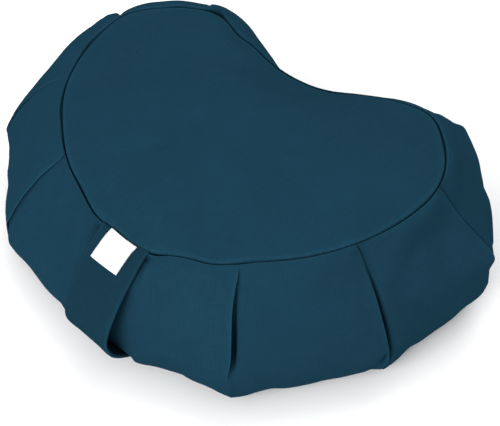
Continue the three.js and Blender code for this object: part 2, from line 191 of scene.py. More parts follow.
@dataclass(frozen=True)
class Place:
    """Places on the crescent's line: where they are, which way is out, and how much the line bends."""

    x: Array
    y: Array
    out_x: Array
    out_y: Array
    bend: Array


@dataclass(frozen=True)
class Stray:
    """A stretch of the top seam that is pulled off the crescent's line."""

    at: float
    wide: float
    out: float
    down: float = 0.0


@dataclass(frozen=True)
class Parting:
    """A stretch of the top seam where the two cloths gape."""

    at: float
    wide: float
    gape: float


@dataclass(frozen=True)
class Crescent:
    """The cushion seen from above: a wide front arc, two round lobes and the hollow between them."""

    front_radius: float = 168.0
    lobe_radius: float = 77.5
    lobe_spacing: float = 180.0
    hollow_radius: float = 81.0
    fan_y: float = -54.6
    seam_height: float = 124.0
    seam_rise: float = 0.054
    dip: float = 5.0
    dip_at: tuple[float, float] = (105.0, 70.0)
    dip_wide: float = 55.0
    crown: float = 17.0
    crown_fullness: float = 2.4
    stray_fade: float = 4.0
    strays: tuple[Stray, ...] = (
        Stray(-400, 25, -9),
        Stray(-285, 22, 4),
        Stray(-135, 35, -2.5),
        Stray(-34, 22, 4.8, 3.3),
        Stray(12, 30, 8.6, 6),
        Stray(70, 22, 3.8, 2.6),
        Stray(352, 24, 7),
        Stray(412, 25, -4),
        Stray(445, 20, -2),
    )
    seam_gape: float = 0.7
    partings: tuple[Parting, ...] = (
        Parting(-364, 9, 6.5),
        Parting(-330, 8, 1.6),
        Parting(-237, 16, 1.8),
        Parting(-158, 20, 1.2),
        Parting(-118, 22, 0.6),
        Parting(-60, 16, 0.5),
        Parting(27, 5, 1.6),
        Parting(93, 7, 0.9),
        Parting(184, 6, 0.7),
        Parting(322, 20, 1.1),
    )

    @property
    def half(self) -> float:
        """Half the distance between the lobes' centres."""
        return self.lobe_spacing / 2

    @property
    def front_y(self) -> float:
        """Where the front arc's centre lies."""
        return math.sqrt((self.front_radius - self.lobe_radius) ** 2 - self.half**2)

    @property
    def foremost(self) -> float:
        """Where the front arc's middle lies, its lowest y."""
        return self.front_y - self.front_radius

    @property
    def hollow_y(self) -> float:
        """Where the hollow's centre lies."""
        return math.sqrt((self.hollow_radius + self.lobe_radius) ** 2 - self.half**2)

    @property
    def front_turn(self) -> float:
        """How far half of the front arc turns."""
        return math.pi / 2 - math.atan2(self.front_y, self.half)

    @property
    def lobe_turn(self) -> float:
        """How far a lobe's arc turns."""
        return math.atan2(self.hollow_y, -self.half) + math.pi / 2 - self.front_turn

    @property
    def front_length(self) -> float:
        """The length of half of the front arc."""
        return self.front_radius * self.front_turn

    @property
    def lobe_length(self) -> float:
        """The length of a lobe's arc."""
        return self.lobe_radius * self.lobe_turn

    @property
    def length(self) -> float:
        """The length of the whole line."""
        hollow = self.hollow_radius * (self.front_turn + self.lobe_turn - math.pi)
        return 2 * (self.front_length + self.lobe_length + hollow)

    def at(self, s: Array) -> Place:
        """Finds places on the line.

        Args:
            s: Millimetres along the line from the front's middle, towards +X.

        Returns:
            The places.
        """
        around = self.away(s, 0.0)
        side = np.where(around < 0, -1.0, 1.0)
        along = np.abs(around)
        front = along < self.front_length
        lobe = ~front & (along < self.front_length + self.lobe_length)
        past = along - self.front_length
        whole = self.front_turn + self.lobe_turn
        hollow_turn = whole - (past - self.lobe_length) / self.hollow_radius
        lobe_turn = self.front_turn + past / self.lobe_radius
        turn = np.where(front, along / self.front_radius, np.where(lobe, lobe_turn, hollow_turn))
        radius = np.where(front, self.front_radius, np.where(lobe, self.lobe_radius, -self.hollow_radius))
        middle_x = np.where(lobe, self.half, 0.0)
        middle_y = np.where(front, self.front_y, np.where(lobe, 0.0, self.hollow_y))
        out_x, out_y = np.sin(turn), -np.cos(turn)
        x, y = side * (middle_x + radius * out_x), middle_y + radius * out_y
        return Place(x, y, side * out_x, out_y, 1 / radius)

    def away(self, s: Array, at: float) -> Array:
        """Tells how far s lies past a place, the short way round."""
        return s - at - self.length * np.round((s - at) / self.length)

    def stray(self, s: Array) -> tuple[Array, Array]:
        """Tells how far the top seam strays from the line.

        Args:
            s: Millimetres along the line.

        Returns:
            How far out and how far down.
        """
        out, down = np.zeros_like(s), np.zeros_like(s)
        for pull in self.strays:
            share = bell(self.away(s, pull.at) / pull.wide)
            out = out + pull.out * share
            down = down + pull.down * share
        return out, down

    def gape(self, s: Array) -> Array:
        """Tells how far the top seam gapes.

        Args:
            s: Millimetres along the line.

        Returns:
            The gap for each place.
        """
        total = np.full_like(s, self.seam_gape)
        for part in self.partings:
            total = total + part.gape * bell(self.away(s, part.at) / part.wide)
        return total

    def height(self, x: Array, y: Array) -> Array:
        """Gives how high the top seam runs over x and y."""
        away = np.hypot(x - self.dip_at[0], y - self.dip_at[1]) / self.dip_wide
        return self.seam_height + self.seam_rise * x - self.dip * bell(away)

    def ring(self, s: Array, inset: Array | float, scale: float) -> tuple[Array, Array]:
        """Draws the line in by inset and scales it about the fan's centre.

        Args:
            s: Millimetres along the line.
            inset: How far in from the line.
            scale: 1 at the line and 0 at the fan's centre.

        Returns:
            The ring's x and y.
        """
        place = self.at(s)
        x = (place.x - place.out_x * inset) * scale
        return x, self.fan_y + (place.y - place.out_y * inset - self.fan_y) * scale

    def crown_ring(self, s: Array, inset: float, scale: float) -> Array:
        """Draws a ring on the crowned top.

        Args:
            s: Millimetres along the line.
            inset: How far in from the line.
            scale: 1 at the line and 0 at the fan's centre.

        Returns:
            The ring's points.
        """
        out, down = self.stray(s)
        near = scale**self.stray_fade
        x, y = self.ring(s, inset - out * near, scale)
        z = self.height(x, y) - down * near + self.crown * (1 - scale**self.crown_fullness)
        return np.stack([x, y, z], axis=-1)


@dataclass(frozen=True)
class Drawing:
    """Where the drawing lies in the shared frame, found from the base panel's box."""

    crescent: Crescent
    base_inset: float = 6.3

    def place(self, points: Array) -> Array:
        """Moves points from the drawing to the shared frame.

        Args:
            points: Places in the drawing, in millimetres.

        Returns:
            The same places in the shared frame, in metres.
        """
        low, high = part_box("base_panel")
        front = self.crescent.foremost + self.base_inset
        return points * MM + np.array([(low.x + high.x) / 2, low.y - front * MM, 0.0])


@dataclass
class Body:
    """A closed body of cloth, made of rings of points from one end to the other.

    The rings all have the same number of points. Each point has its place in the weave, in
    millimetres, and how worn the cloth is there, from 0 to 1.
    """

    name: str
    rings: Array
    first: Array
    last: Array
    weave: Array
    wear: Array

    def build(self, drawing: Drawing, material: bpy.types.Material) -> bpy.types.Object:
        """Makes the mesh object.

        Args:
            drawing: Where the drawing lies in the shared frame.
            material: What the body is made of.

        Returns:
            The object, with its place in its mesh.
        """
        count, across = self.rings.shape[:2]
        points = np.vstack([self.first[None], self.rings.reshape(-1, 3), self.last[None]])
        column = np.arange(across)
        after = (column + 1) % across
        row = np.arange(count - 1)[:, None] * across + 1
        quads = np.stack([row + column, row + across + column, row + across + after, row + after], axis=-1)
        end = (count - 1) * across + 1
        start_fan = np.stack([np.zeros_like(column), 1 + column, 1 + after], axis=-1)
        end_fan = np.stack([end + column, np.full_like(column, len(points) - 1), end + after], axis=-1)
        faces = quads.reshape(-1, 4).tolist() + start_fan.tolist() + end_fan.tolist()
        mesh = bpy.data.meshes.new(self.name)
        mesh.from_pydata(drawing.place(points).tolist(), [], faces)
        mesh.uv_layers.new(name=WEAVE_MAP).data.foreach_set("uv", self._corners(across))
        ends = [self.wear[0].mean()], [self.wear[-1].mean()]
        worn = np.concatenate([ends[0], self.wear.ravel(), ends[1]])
        mesh.attributes.new(WEAR, "FLOAT", "POINT").data.foreach_set("value", worn)
        mesh.shade_smooth()
        mesh.materials.append(material)
        return add_object(self.name, mesh)

    def _corners(self, across: int) -> Array:
        """Lists the weave's place at every face corner, in the order of the faces.

        Args:
            across: How many points each ring has.

        Returns:
            The places, one after the other.
        """
        here, there = self.weave[:, :across], self.weave[:, 1:]
        quads = np.stack([here[:-1], here[1:], there[1:], there[:-1]], axis=2)
        first, last = self.weave[0].mean(axis=0), self.weave[-1].mean(axis=0)
        start_fan = np.stack([np.tile(first, (across, 1)), here[0], there[0]], axis=1)
        end_fan = np.stack([here[-1], np.tile(last, (across, 1)), there[-1]], axis=1)
        return np.concatenate([quads.ravel(), start_fan.ravel(), end_fan.ravel()])


def shares_of(coarse: Array, count: int) -> Array:
    """Gives the share that each coarse place has in each of count places between them."""
    return np.array([np.interp(np.arange(count), coarse, unit) for unit in np.eye(len(coarse))]).T


@dataclass(frozen=True)
class Settling:
    """Cloth cut a little large, held where it is sewn and pushed by the filling until it lies still.

    growth is how much larger it was cut, and limit how far it may move, in millimetres.
    """

    pressure: float = 1.5
    growth: float = 0.006
    limit: float = 2.5
    frames: int = 20
    quality: int = 6
    mass: float = 0.3
    stiffness: float = 15.0
    shear: float = 5.0
    bending: float = 0.5
    smoothing: int = 2

    def settle(self, points: Array, columns: Array, rows: Array, held: Array) -> Array:
        """Simulates a coarse copy of a sheet and moves the sheet with it.

        Args:
            points: The sheet in millimetres, by column round the cushion and by row.
            columns: Which columns the copy takes, the first one among them.
            rows: Which rows the copy takes.
            held: Which of the copy's points are sewn down, by column and by row.

        Returns:
            The moved sheet.
        """
        coarse = points[columns][:, rows]
        moves = self._simulate(coarse, held) - coarse
        length = np.linalg.norm(moves, axis=-1, keepdims=True) + TINY
        moves *= np.tanh(length / self.limit) * self.limit / length
        across = shares_of(np.append(columns, len(points)), len(points))
        down = shares_of(rows, points.shape[1])
        fine = np.einsum("ci,rj,ijk->crk", across, down, np.concatenate([moves, moves[:1]]))
        for _ in range(self.smoothing):
            fine = (np.roll(fine, 1, axis=0) + 2 * fine + np.roll(fine, -1, axis=0)) / 4
            inner = (fine[:, :-2] + 2 * fine[:, 1:-1] + fine[:, 2:]) / 4
            fine = np.concatenate([fine[:, :1], inner, fine[:, -1:]], axis=1)
        LOG.info("settled: %.2f mm on average, %.2f mm at most", length.mean(), length.max())
        return points + fine

    def _simulate(self, coarse: Array, held: Array) -> Array:
        """Runs Blender's cloth simulation.

        Args:
            coarse: The sheet's points in millimetres, by column and by row.
            held: Which of them are sewn down.

        Returns:
            The points where the simulation ends.
        """
        across, down = coarse.shape[:2]
        column = np.arange(across)[:, None]
        here = column * down + np.arange(down - 1)
        there = (column + 1) % across * down + np.arange(down - 1)
        faces = np.stack([here, here + 1, there + 1, there], axis=-1).reshape(-1, 4)
        mesh = bpy.data.meshes.new("settling")
        mesh.from_pydata((coarse.reshape(-1, 3) * MM).tolist(), [], faces.tolist())
        sheet = add_object("settling", mesh)
        sewn = sheet.vertex_groups.new(name="sewn")
        sewn.add(np.flatnonzero(held.ravel()).tolist(), 1.0, "REPLACE")
        cloth = sheet.modifiers.new("cloth", "CLOTH")
        settings = cloth.settings
        settings.quality = self.quality
        settings.mass = self.mass
        settings.tension_stiffness = self.stiffness
        settings.compression_stiffness = self.stiffness
        settings.shear_stiffness = self.shear
        settings.bending_stiffness = self.bending
        settings.shrink_min = -self.growth
        settings.vertex_group_mass = sewn.name
        settings.use_pressure = True
        settings.uniform_pressure_force = self.pressure
        settings.effector_weights.gravity = 0.0
        cloth.collision_settings.use_collision = False
        cloth.point_cache.frame_start = 1
        cloth.point_cache.frame_end = self.frames
        for frame_number in range(1, self.frames + 1):
            bpy.context.scene.frame_set(frame_number)
        settled = np.empty(coarse.size)
        evaluated = sheet.evaluated_get(bpy.context.evaluated_depsgraph_get())
        evaluated.data.vertices.foreach_get("co", settled)
        bpy.data.objects.remove(sheet)
        bpy.data.meshes.remove(mesh)
        return settled.reshape(coarse.shape) / MM


@dataclass(frozen=True)
class CarryHandle:
    """The wide loop of doubled cloth at the front, sewn into the top seam and the base's seam.

    start is how far out and up from the seam it starts. Each row of path is how far out from the
    crescent's front, how high, and how much further the right edge stands out than the left. drift is how
    far it hangs to one side, at which height most and over what height.
    """

    crescent: Crescent
    width: float = 49.0
    centre: float = -2.0
    thickness: float = 3.0
    end_thickness: float = 1.2
    edge_round: float = 1.5
    puff: float = 0.5
    puff_width: float = 5.0
    rub_width: float = 1.6
    lowest: float = 0.1
    steps: int = 5
    across: int = 30
    probes: int = 13
    droop: float = 7.0
    drift: tuple[float, float, float] = (-3.2, 55.0, 40.0)
    start: tuple[float, float] = (0.8, 0.8)
    path: tuple[tuple[float, float, float], ...] = (
        (16, 117, 2),
        (25, 110.5, 3),
        (34, 102.5, 4),
        (41, 94, 6),
        (47, 85, 7),
        (52.5, 75, 8),
        (56.5, 65, 8),
        (58.5, 55, 7),
        (57, 45, 5),
        (53, 35.5, 4),
        (46.5, 27, 3),
        (38.5, 19, 2),
        (30, 11, 1),
        (22.5, 4, 0),
        (14, 0, 0),
        (5, 0, 0),
        (-4.5, 0, 0),
    )

    def aside(self, up: Array) -> Array:
        """Tells how far the handle hangs to one side at a height."""
        return self.drift[0] * bell((up - self.drift[1]) / self.drift[2])

    def face(self, x: Array, steps: int) -> Array:
        """Draws the handle's outer face.

        Args:
            x: Places across the handle.
            steps: Steps from one row of the path to the next.

        Returns:
            For each place across, the line down the handle as out and up.
        """
        reach, down = self.crescent.stray(x)
        rows = len(self.path)
        radius = self.crescent.front_radius
        sag = radius - np.sqrt(radius**2 - x**2)
        lines = []
        for i in range(len(x)):
            start = (reach[i] + self.start[0], self.crescent.seam_height - down[i] + self.start[1], 0.0)
            line = spline(np.array([start, *self.path]), steps)
            middle = np.sin(math.pi * np.linspace(0, rows, len(line)) / rows)
            twist = line[:, 2] * (x[i] - self.centre) / self.width
            out = line[:, 0] - sag[i] * (1 - middle) + twist
            up = line[:, 1] * (1 + self.crescent.seam_rise * x[i] / self.crescent.seam_height)
            up = up - self.droop * middle * (x[i] - self.centre) / self.width
            lines.append(np.stack([out, up], axis=-1))
        return np.array(lines)

    def point(self, x: Array, lines: Array, depth: Array) -> Array:
        """Gives points below the handle's outer face.

        Args:
            x: Places across the handle.
            lines: The outer face there, as face draws it.
            depth: How deep below it, for each place across and step down.

        Returns:
            The points, by place across and step down.
        """
        run = np.gradient(lines, axis=1)
        run /= np.linalg.norm(run, axis=-1, keepdims=True)
        out = lines[..., 0] + run[..., 1] * depth
        up = lines[..., 1] - run[..., 0] * depth
        return np.stack([x[:, None] + self.aside(up), self.crescent.foremost - out, up], axis=-1)

    def past(self, x: Array, out: Array, up: Array) -> Array:
        """Tells how far points stand out past the handle's outer face.

        Args:
            x: Where the points lie across the handle.
            out: How far they lie out from the crescent's front.
            up: How high they lie.

        Returns:
            The distance for each point, less than 0 under the face.
        """
        shares = np.linspace(-0.5, 0.5, self.probes) * self.width + self.centre
        lines = self.face(shares, 1)
        place = np.clip((x - shares[0]) / (shares[1] - shares[0]), 0, len(shares) - 1 - TINY)
        low = place.astype(int)
        path = mix(lines[low], lines[low + 1], (place - low)[:, None, None])
        run = path[:, 1:] - path[:, :-1]
        length = np.linalg.norm(run, axis=-1)
        start = np.stack([out, up], axis=-1)[:, None] - path[:, :-1]
        share = np.clip((start * run).sum(axis=-1) / length**2, 0, 1)
        away = start - share[..., None] * run
        nearest = np.linalg.norm(away, axis=-1).argmin(axis=1)
        pick = np.arange(len(x)), nearest
        return (away[pick][:, 1] * run[pick][:, 0] - away[pick][:, 0] * run[pick][:, 1]) / length[pick]

    def build(self, drawing: Drawing, material: bpy.types.Material) -> bpy.types.Object:
        """Makes the handle as one closed loop of doubled cloth with turned edges.

        Args:
            drawing: Where the drawing lies in the shared frame.
            material: What the handle is made of.

        Returns:
            The handle.
        """
        half = self.width / 2
        share = np.linspace(-1, 1, self.across)
        from_edge = (1 - np.abs(share)) * half
        x = self.centre + share * half
        lines = self.face(x, self.steps)
        down = lines.shape[1]
        thick = mix(self.end_thickness, self.thickness, smooth(np.arange(down), 0, self.steps))
        edge = np.clip(from_edge / self.edge_round, 0, 1)
        round_off = (1 - np.sqrt(1 - (1 - edge) ** 2)) / 2
        swell = self.puff * bell(from_edge / self.puff_width - 1)
        upper = round_off[:, None] * thick - swell[:, None] * smooth(np.arange(down), 0, 3 * self.steps)
        lower = (1 - round_off)[:, None] * thick
        front, back = self.point(x, lines, upper), self.point(x, lines, lower)
        loops = np.concatenate([front, back[-2:0:-1]]).transpose(1, 0, 2)
        loops[..., 2] = np.maximum(loops[..., 2], self.lowest)
        drop = np.linalg.norm(np.diff(lines[self.across // 2], axis=0), axis=1)
        along = np.concatenate([[0.0], np.cumsum(drop)])
        sides = np.concatenate([x, 2 * x[-1] - x[::-1][1:]])
        weave = np.stack(np.broadcast_arrays(sides[None], along[:, None]), axis=-1)
        worn = bell(from_edge / self.rub_width)
        wear = np.tile(np.concatenate([worn, worn[-2:0:-1]]), (down, 1))
        first, last = loops[0].mean(axis=0), loops[-1].mean(axis=0)
        made = Body("handle_cloth", loops, first, last, weave, wear).build(drawing, material)
        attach(made, "root")
        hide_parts("carry_handle")
        return made


@dataclass(frozen=True)
class Pleat:
    """One knife pleat of the wall, and the cloth from it up to the next one.

    Sizes are in millimetres, and levels run down the wall as in PleatedWall.section.

    at is where the fold starts along the top seam, and push how far the corner at the fold stands out.
    taut is how straight the cloth runs from the seam to the bulge, and before the same on the lapping
    side. lean is how far along the fold has moved by the bulge, and bow how much further it strays on its
    way, most at the level bow_at. fold is how far the cloth laps, 1 for a full lap, and step how much
    further in the cloth below starts. gap is how far the pleat opens, low the level where it is widest,
    spread over how many levels it opens, and end the level where it starts to close again. heel is how
    far the corner bulges once more, at the level heel_at and over heel_wide. flat is how flat the cloth up
    to the next pleat lies, and full how much of its tautness it loses at its middle.
    """

    at: float
    push: float
    taut: float
    lean: float = 0.0
    bow: float = 0.0
    bow_at: float = 0.42
    fold: float = 0.9
    step: float = 5.0
    gap: float = 0.0
    low: float = 0.5
    spread: float = 0.22
    end: float = 0.86
    heel: float = 0.0
    heel_at: float = 0.8
    heel_wide: float = 0.09
    before: float | None = None
    flat: float = 0.7
    full: float = 0.7

    @property
    def lapping_taut(self) -> float:
        """How straight the lapping side runs."""
        return self.taut if self.before is None else self.before


@dataclass(frozen=True)
class Tuck:
    """A small place where the cloth is pushed out, or nipped in where out is less than 0.

    at is how far along the seam it lies, and slope how much further for each level down; level is its
    middle, and above and below how many levels it reaches up and down from there.
    """

    at: float
    level: float
    out: float
    wide: float
    above: float
    below: float
    slope: float = 0.0

    def lift(self, s: Array, level: Array) -> Array:
        """Tells how far the tuck lifts the cloth.

        Args:
            s: Millimetres along the seam.
            level: Levels down the wall.

        Returns:
            How far out the cloth stands at each place.
        """
        down = level - self.level
        along = s - self.at - self.slope * down
        return self.out * bell(along / self.wide) * bell(down / np.where(down < 0, self.above, self.below))


@dataclass(frozen=True)
class PleatedWall:
    """The filled wall between the panels: eleven petals of cloth, each lapping over the next.

    A pair called ramp, such as flat_ramp, is the level where something has its full size, coming down from
    the top seam, and the level from where it fades towards the floor. seam_rub_at and seam_rub_wide are
    where the cloth is rubbed most at the seam, and over what width, as shares of seam_level.
    """

    crescent: Crescent
    handle: CarryHandle
    bulge: float = 46.0
    bulge_height: float = 46.0
    hollow_bulge: float = 7.0
    floor_reach: float = 15.0
    hollow_floor_reach: float = 4.0
    hollow_from: float = 0.1
    hollow_over: float = 0.6
    hollow_wide: float = 70.0
    stray_level: float = 0.5
    bulge_level: float = 0.6
    lean_end: float = 0.75
    bow_spread: float = 0.18
    gap_width: float = 0.16
    sewn_depth: float = 0.1
    flat_ramp: tuple[float, float] = (0.4, 0.85)
    push_ramp: tuple[float, float] = (0.6, 0.8)
    lump_ramp: tuple[float, float] = (0.12, 0.9)
    swell_ramp: tuple[float, float] = (0.2, 0.9)
    open_by: float = 0.16
    close_over: float = 0.14
    strap_shoulder: float = 4.5
    strap_margin: float = 1.2
    strap_clearance: float = 2.2
    sewn_clearance: float = 0.4
    strap_swell: float = 3.6
    swell_at: float = 10.0
    swell_wide: float = 14.0
    seam_level: float = 0.02
    lip_rows: tuple[float, ...] = (0, 0.04, 0.12, 0.24, 0.4, 0.6, 0.8)
    sunk_level: float = 0.05
    lip_depth: float = 1.4
    gape_share: float = 0.7
    gape_level: float = 0.06
    crown_bed: float = 5.5
    crown_rows: tuple[float, ...] = (0.3, 0.55, 0.74, 0.88, 0.97, 1.0)
    base_inset: float = 6.0
    base_bed: float = 2.5
    floor_middle: float = 0.5
    cloth_columns: int = 20
    fold_steps: int = 2
    levels: int = 84
    pleats: tuple[Pleat, ...] = (
        Pleat(-434, push=9, taut=0.3, lean=4, fold=0.7, step=2, gap=0.5, flat=0.4),
        Pleat(-353, push=0, taut=0.2, lean=-6, step=2.5, gap=1.5, low=0.4, heel=2, heel_at=0.12,
              heel_wide=0.07, flat=0.8, full=1),
        Pleat(-277, push=7, taut=0.2, lean=8, step=2.5, gap=1.5, low=0.45, before=0.9, flat=0.72),
        Pleat(-191, push=12, taut=0.4, lean=4, step=1.5, flat=1.1),
        Pleat(-103, push=10.5, taut=0.8, lean=-5, fold=1, step=2.5, gap=1, end=0.6, heel=5, flat=0.85),
        Pleat(-9, push=-1, taut=0.2, fold=0, heel=5, heel_at=0.78, heel_wide=0.12, flat=0.95, full=0.5),
        Pleat(91, push=9, taut=0.5, lean=-2.8, bow=-2.2, bow_at=0.28, fold=1.1, step=2, gap=13, low=0.55,
              spread=0.28, end=0.5, flat=0.9),
        Pleat(181, push=4.5, taut=0.8, lean=7.5, bow=0.5, fold=1, step=4, gap=11, low=0.56, spread=0.2,
              end=0.66, flat=0.95),
        Pleat(270, push=6, taut=0.8, lean=-4, bow=-0.5, fold=1, step=3, gap=3, low=0.35, end=0.4, heel=21,
              heel_at=0.44, heel_wide=0.09, flat=0.8),
        Pleat(355, push=23, taut=0.6, lean=4, step=3, gap=1.5, low=0.45, heel=5, heel_at=0.48,
              heel_wide=0.08, full=0.1),
        Pleat(436, push=0, taut=0.9, lean=-3, fold=0.7, step=2, gap=0.5, flat=0.25, full=0.1),
    )
    # One pleat from its lapping side to the cloth below. The columns are: millimetres from the fold's
    # edge where it is sewn flat, and where it is open; how deep in the lap, 1 for all of it; how much
    # of the place is measured from the cloth below; and how much of the pleat's gap is added.
    lap: tuple[tuple[float, float, float, float, float], ...] = (
        (-16.0, -16.0, 0.0, 0.0, 0.0),
        (-11.0, -10.0, 0.0, 0.0, 0.0),
        (-7.5, -6.0, 0.02, 0.0, 0.0),
        (-4.5, -2.8, 0.1, 0.0, 0.0),
        (-3.0, -0.8, 0.26, 0.0, 0.0),
        (-2.4, 0.0, 0.42, 0.0, 0.0),
        (-2.0, -0.7, 0.58, 0.0, 0.1),
        (-1.7, -2.6, 0.68, 0.0, 0.25),
        (-1.3, -5.8, 0.74, 0.0, 0.4),
        (-0.8, -8.4, 0.82, 0.0, 0.55),
        (-0.4, -9.2, 0.42, 0.5, 0.65),
        (0.0, -8.4, 0.0, 1.0, 0.75),
        (0.4, -5.8, 0.0, 1.0, 0.9),
        (0.8, -2.6, 0.0, 1.0, 1.0),
        (1.2, -0.2, 0.0, 1.0, 1.0),
        (2.4, 1.6, 0.0, 1.0, 0.72),
        (4.4, 3.6, 0.0, 1.0, 0.22),
        (8.0, 7.4, 0.0, 1.0, 0.05),
        (13.0, 12.6, 0.0, 1.0, 0.0),
        (19.0, 19.0, 0.0, 1.0, 0.0),
    )
    edge_row: int = 5
    edge_rub: float = 1.2
    seam_rub: float = 0.5
    seam_rub_at: float = 0.5
    seam_rub_wide: float = 0.6
    tucks: tuple[Tuck, ...] = (
        Tuck(-190, 0.61, out=3.8, wide=14, above=0.12, below=0.02),
        Tuck(184.3, 0.67, out=-10, wide=2, above=0.045, below=0.06, slope=-36),
        Tuck(181, 0.72, out=-4, wide=4, above=0.03, below=0.1),
    )
    # Which of a petal's columns settle: a few of its lap, two that hold the fold, and every other one of
    # the cloth after it.
    settling: Settling = Settling()
    free_lap: tuple[int, ...] = (0, 2)
    sewn_columns: tuple[int, int] = (4, 30)
    free_from: int = 34
    column_step: int = 2
    level_step: int = 3
    free_levels: tuple[float, float] = (0.05, 0.92)
    lumps: tuple[Unevenness, ...] = (Unevenness(11, 52, 0.55), Unevenness(12, 21, 0.18))
    weave_row: float = 0.55

    def ramp(self, level: Array, ends: tuple[float, float]) -> Array:
        """Rises from the top seam to full at the first end, and falls from the second to the floor."""
        return smooth(level, 0, ends[0]) * (1 - smooth(level, ends[1], 1))

    def opening(self, pleat: Pleat, level: Array) -> Array:
        """Tells how far a pleat's fold is worked out at a level, from 0, sewn flat, to 1."""
        return smooth(level, 0, self.open_by) * (1 - smooth(level, pleat.end, pleat.end + self.close_over))

    def in_hollow(self, place: Place) -> Array:
        """Tells how far places lie in the hollow, from 0 outside it to 1 at its middle."""
        turned = np.clip((place.out_y - self.hollow_from) / self.hollow_over, 0, 1)
        return turned * bell(place.x / self.hollow_wide)

    def section(self, place: Place, level: Array, taut: Array) -> tuple[Array, Array, Array]:
        """Gives how far out and how high the wall is, and which way it faces.

        Args:
            place: Places on the crescent's line.
            level: 0 at the top seam, bulge_level at the bulge and 1 on the floor.
            taut: How straight the cloth runs from the seam to the bulge.

        Returns:
            Out, up and the facing, in radians above the level.
        """
        hollow = self.in_hollow(place)
        bulge = mix(self.bulge, self.hollow_bulge, hollow)
        reach = mix(self.floor_reach, self.hollow_floor_reach, hollow)
        rise = self.crescent.height(place.x, place.y) - self.bulge_height
        above = level < self.bulge_level
        quarter = math.pi / 2
        down = np.clip(level / self.bulge_level, 0, 1) * quarter
        under = np.clip((level - self.bulge_level) / (1 - self.bulge_level), 0, 1) * quarter
        out_above = bulge * mix(np.sin(down), 1 - np.cos(down), taut)
        lean = bulge * mix(np.cos(down), np.sin(down), taut)
        out_under = reach + (bulge - reach) * np.cos(under)
        out = np.where(above, out_above, out_under)
        up = np.where(above, self.bulge_height + rise * np.cos(down), self.bulge_height * (1 - np.sin(under)))
        facing_under = -np.arctan2((bulge - reach) * np.sin(under), self.bulge_height * np.cos(under))
        facing = np.where(above, np.arctan2(lean, rise * np.sin(down)), facing_under)
        return out, up, facing

    def edge(self, pleat: Pleat, level: Array) -> Array:
        """Gives where a pleat's fold lies along the seam at a level."""
        bowed = bell((level - pleat.bow_at) / self.bow_spread) * smooth(level, 0, self.bow_spread)
        return pleat.at + pleat.lean * smooth(level, 0, self.lean_end) + pleat.bow * bowed

    def face(self, index: int, s: Array, level: Array) -> tuple[Array, Place, Array]:
        """Gives points on the cloth between one pleat and the next.

        Args:
            index: The pleat before the cloth.
            s: Millimetres along the seam.
            level: Levels down the wall.

        Returns:
            The points, their places on the crescent's line and which way the cloth faces.
        """
        left = self.pleats[index]
        right, lap = self._after(index)
        start, end = self.edge(left, level), self.edge(right, level) + lap
        share = np.clip((s - start) / (end - start), 0, 1)
        flat = left.flat * self.ramp(level, self.flat_ramp)
        step = left.step * left.fold * self.opening(left, level) * (1 - share)
        place = self.crescent.at(s)
        loss = left.full * 4 * share * (1 - share)
        taut = mix(left.taut, right.lapping_taut, share) * (1 - loss)
        out, up, facing = self.section(place, level, taut)
        push_from, push_to = self._push(left, level), self._push(right, level)
        out = out + mix(push_from, push_to, share) - step
        from_x, from_y = self._corner(start, push_from, level, left.taut)
        to_x, to_y = self._corner(end, push_to, level, right.lapping_taut)
        pull_out, pull_down = self.crescent.stray(s)
        near = 1 - smooth(level, 0, self.stray_level)
        shift = pull_out * near - flat * step
        x = mix(place.x + place.out_x * out, mix(from_x, to_x, share), flat) + place.out_x * shift
        y = mix(place.y + place.out_y * out, mix(from_y, to_y, share), flat) + place.out_y * shift
        return np.stack([x, y, up - pull_down * near], axis=-1), place, facing

    def _after(self, index: int) -> tuple[Pleat, float]:
        """Gives the pleat after one, and the crescent's length if that starts again before it."""
        last = index == len(self.pleats) - 1
        return self.pleats[(index + 1) % len(self.pleats)], self.crescent.length if last else 0.0

    def _push(self, pleat: Pleat, level: Array) -> Array:
        """Tells how far the corner at a pleat is pushed out at a level."""
        heel = pleat.heel * bell((level - pleat.heel_at) / pleat.heel_wide)
        return pleat.push * self.ramp(level, self.push_ramp) + heel

    def _corner(self, at: Array, push: Array, level: Array, taut: float) -> tuple[Array, Array]:
        """Gives where the corner at a pleat stands.

        Args:
            at: Where the fold lies along the seam.
            push: How far out the corner is pushed.
            level: Levels down the wall.
            taut: How straight the cloth runs from the seam to the bulge.

        Returns:
            The corner's x and y.
        """
        place = self.crescent.at(at)
        out = self.section(place, level, taut)[0] + push
        return place.x + place.out_x * out, place.y + place.out_y * out

    def _normal(self, place: Place, facing: Array) -> Array:
        """Gives which way the cloth looks."""
        across = np.cos(facing)
        return np.stack([place.out_x * across, place.out_y * across, np.sin(facing)], axis=-1)

    def _lift(self, s: Array, level: Array) -> Array:
        """Tells how far all the tucks lift the cloth."""
        return sum(tuck.lift(s, level) for tuck in self.tucks)

    def _between(self, edge: Array | float, following: Array | float) -> Array:
        """Spaces the cloth's columns between the folds of two pleats, one row for each column."""
        share = (np.arange(self.cloth_columns) + 1)[:, None] / (self.cloth_columns + 1)
        return mix(edge + self.lap[-1][0], following + self.lap[0][0], share)

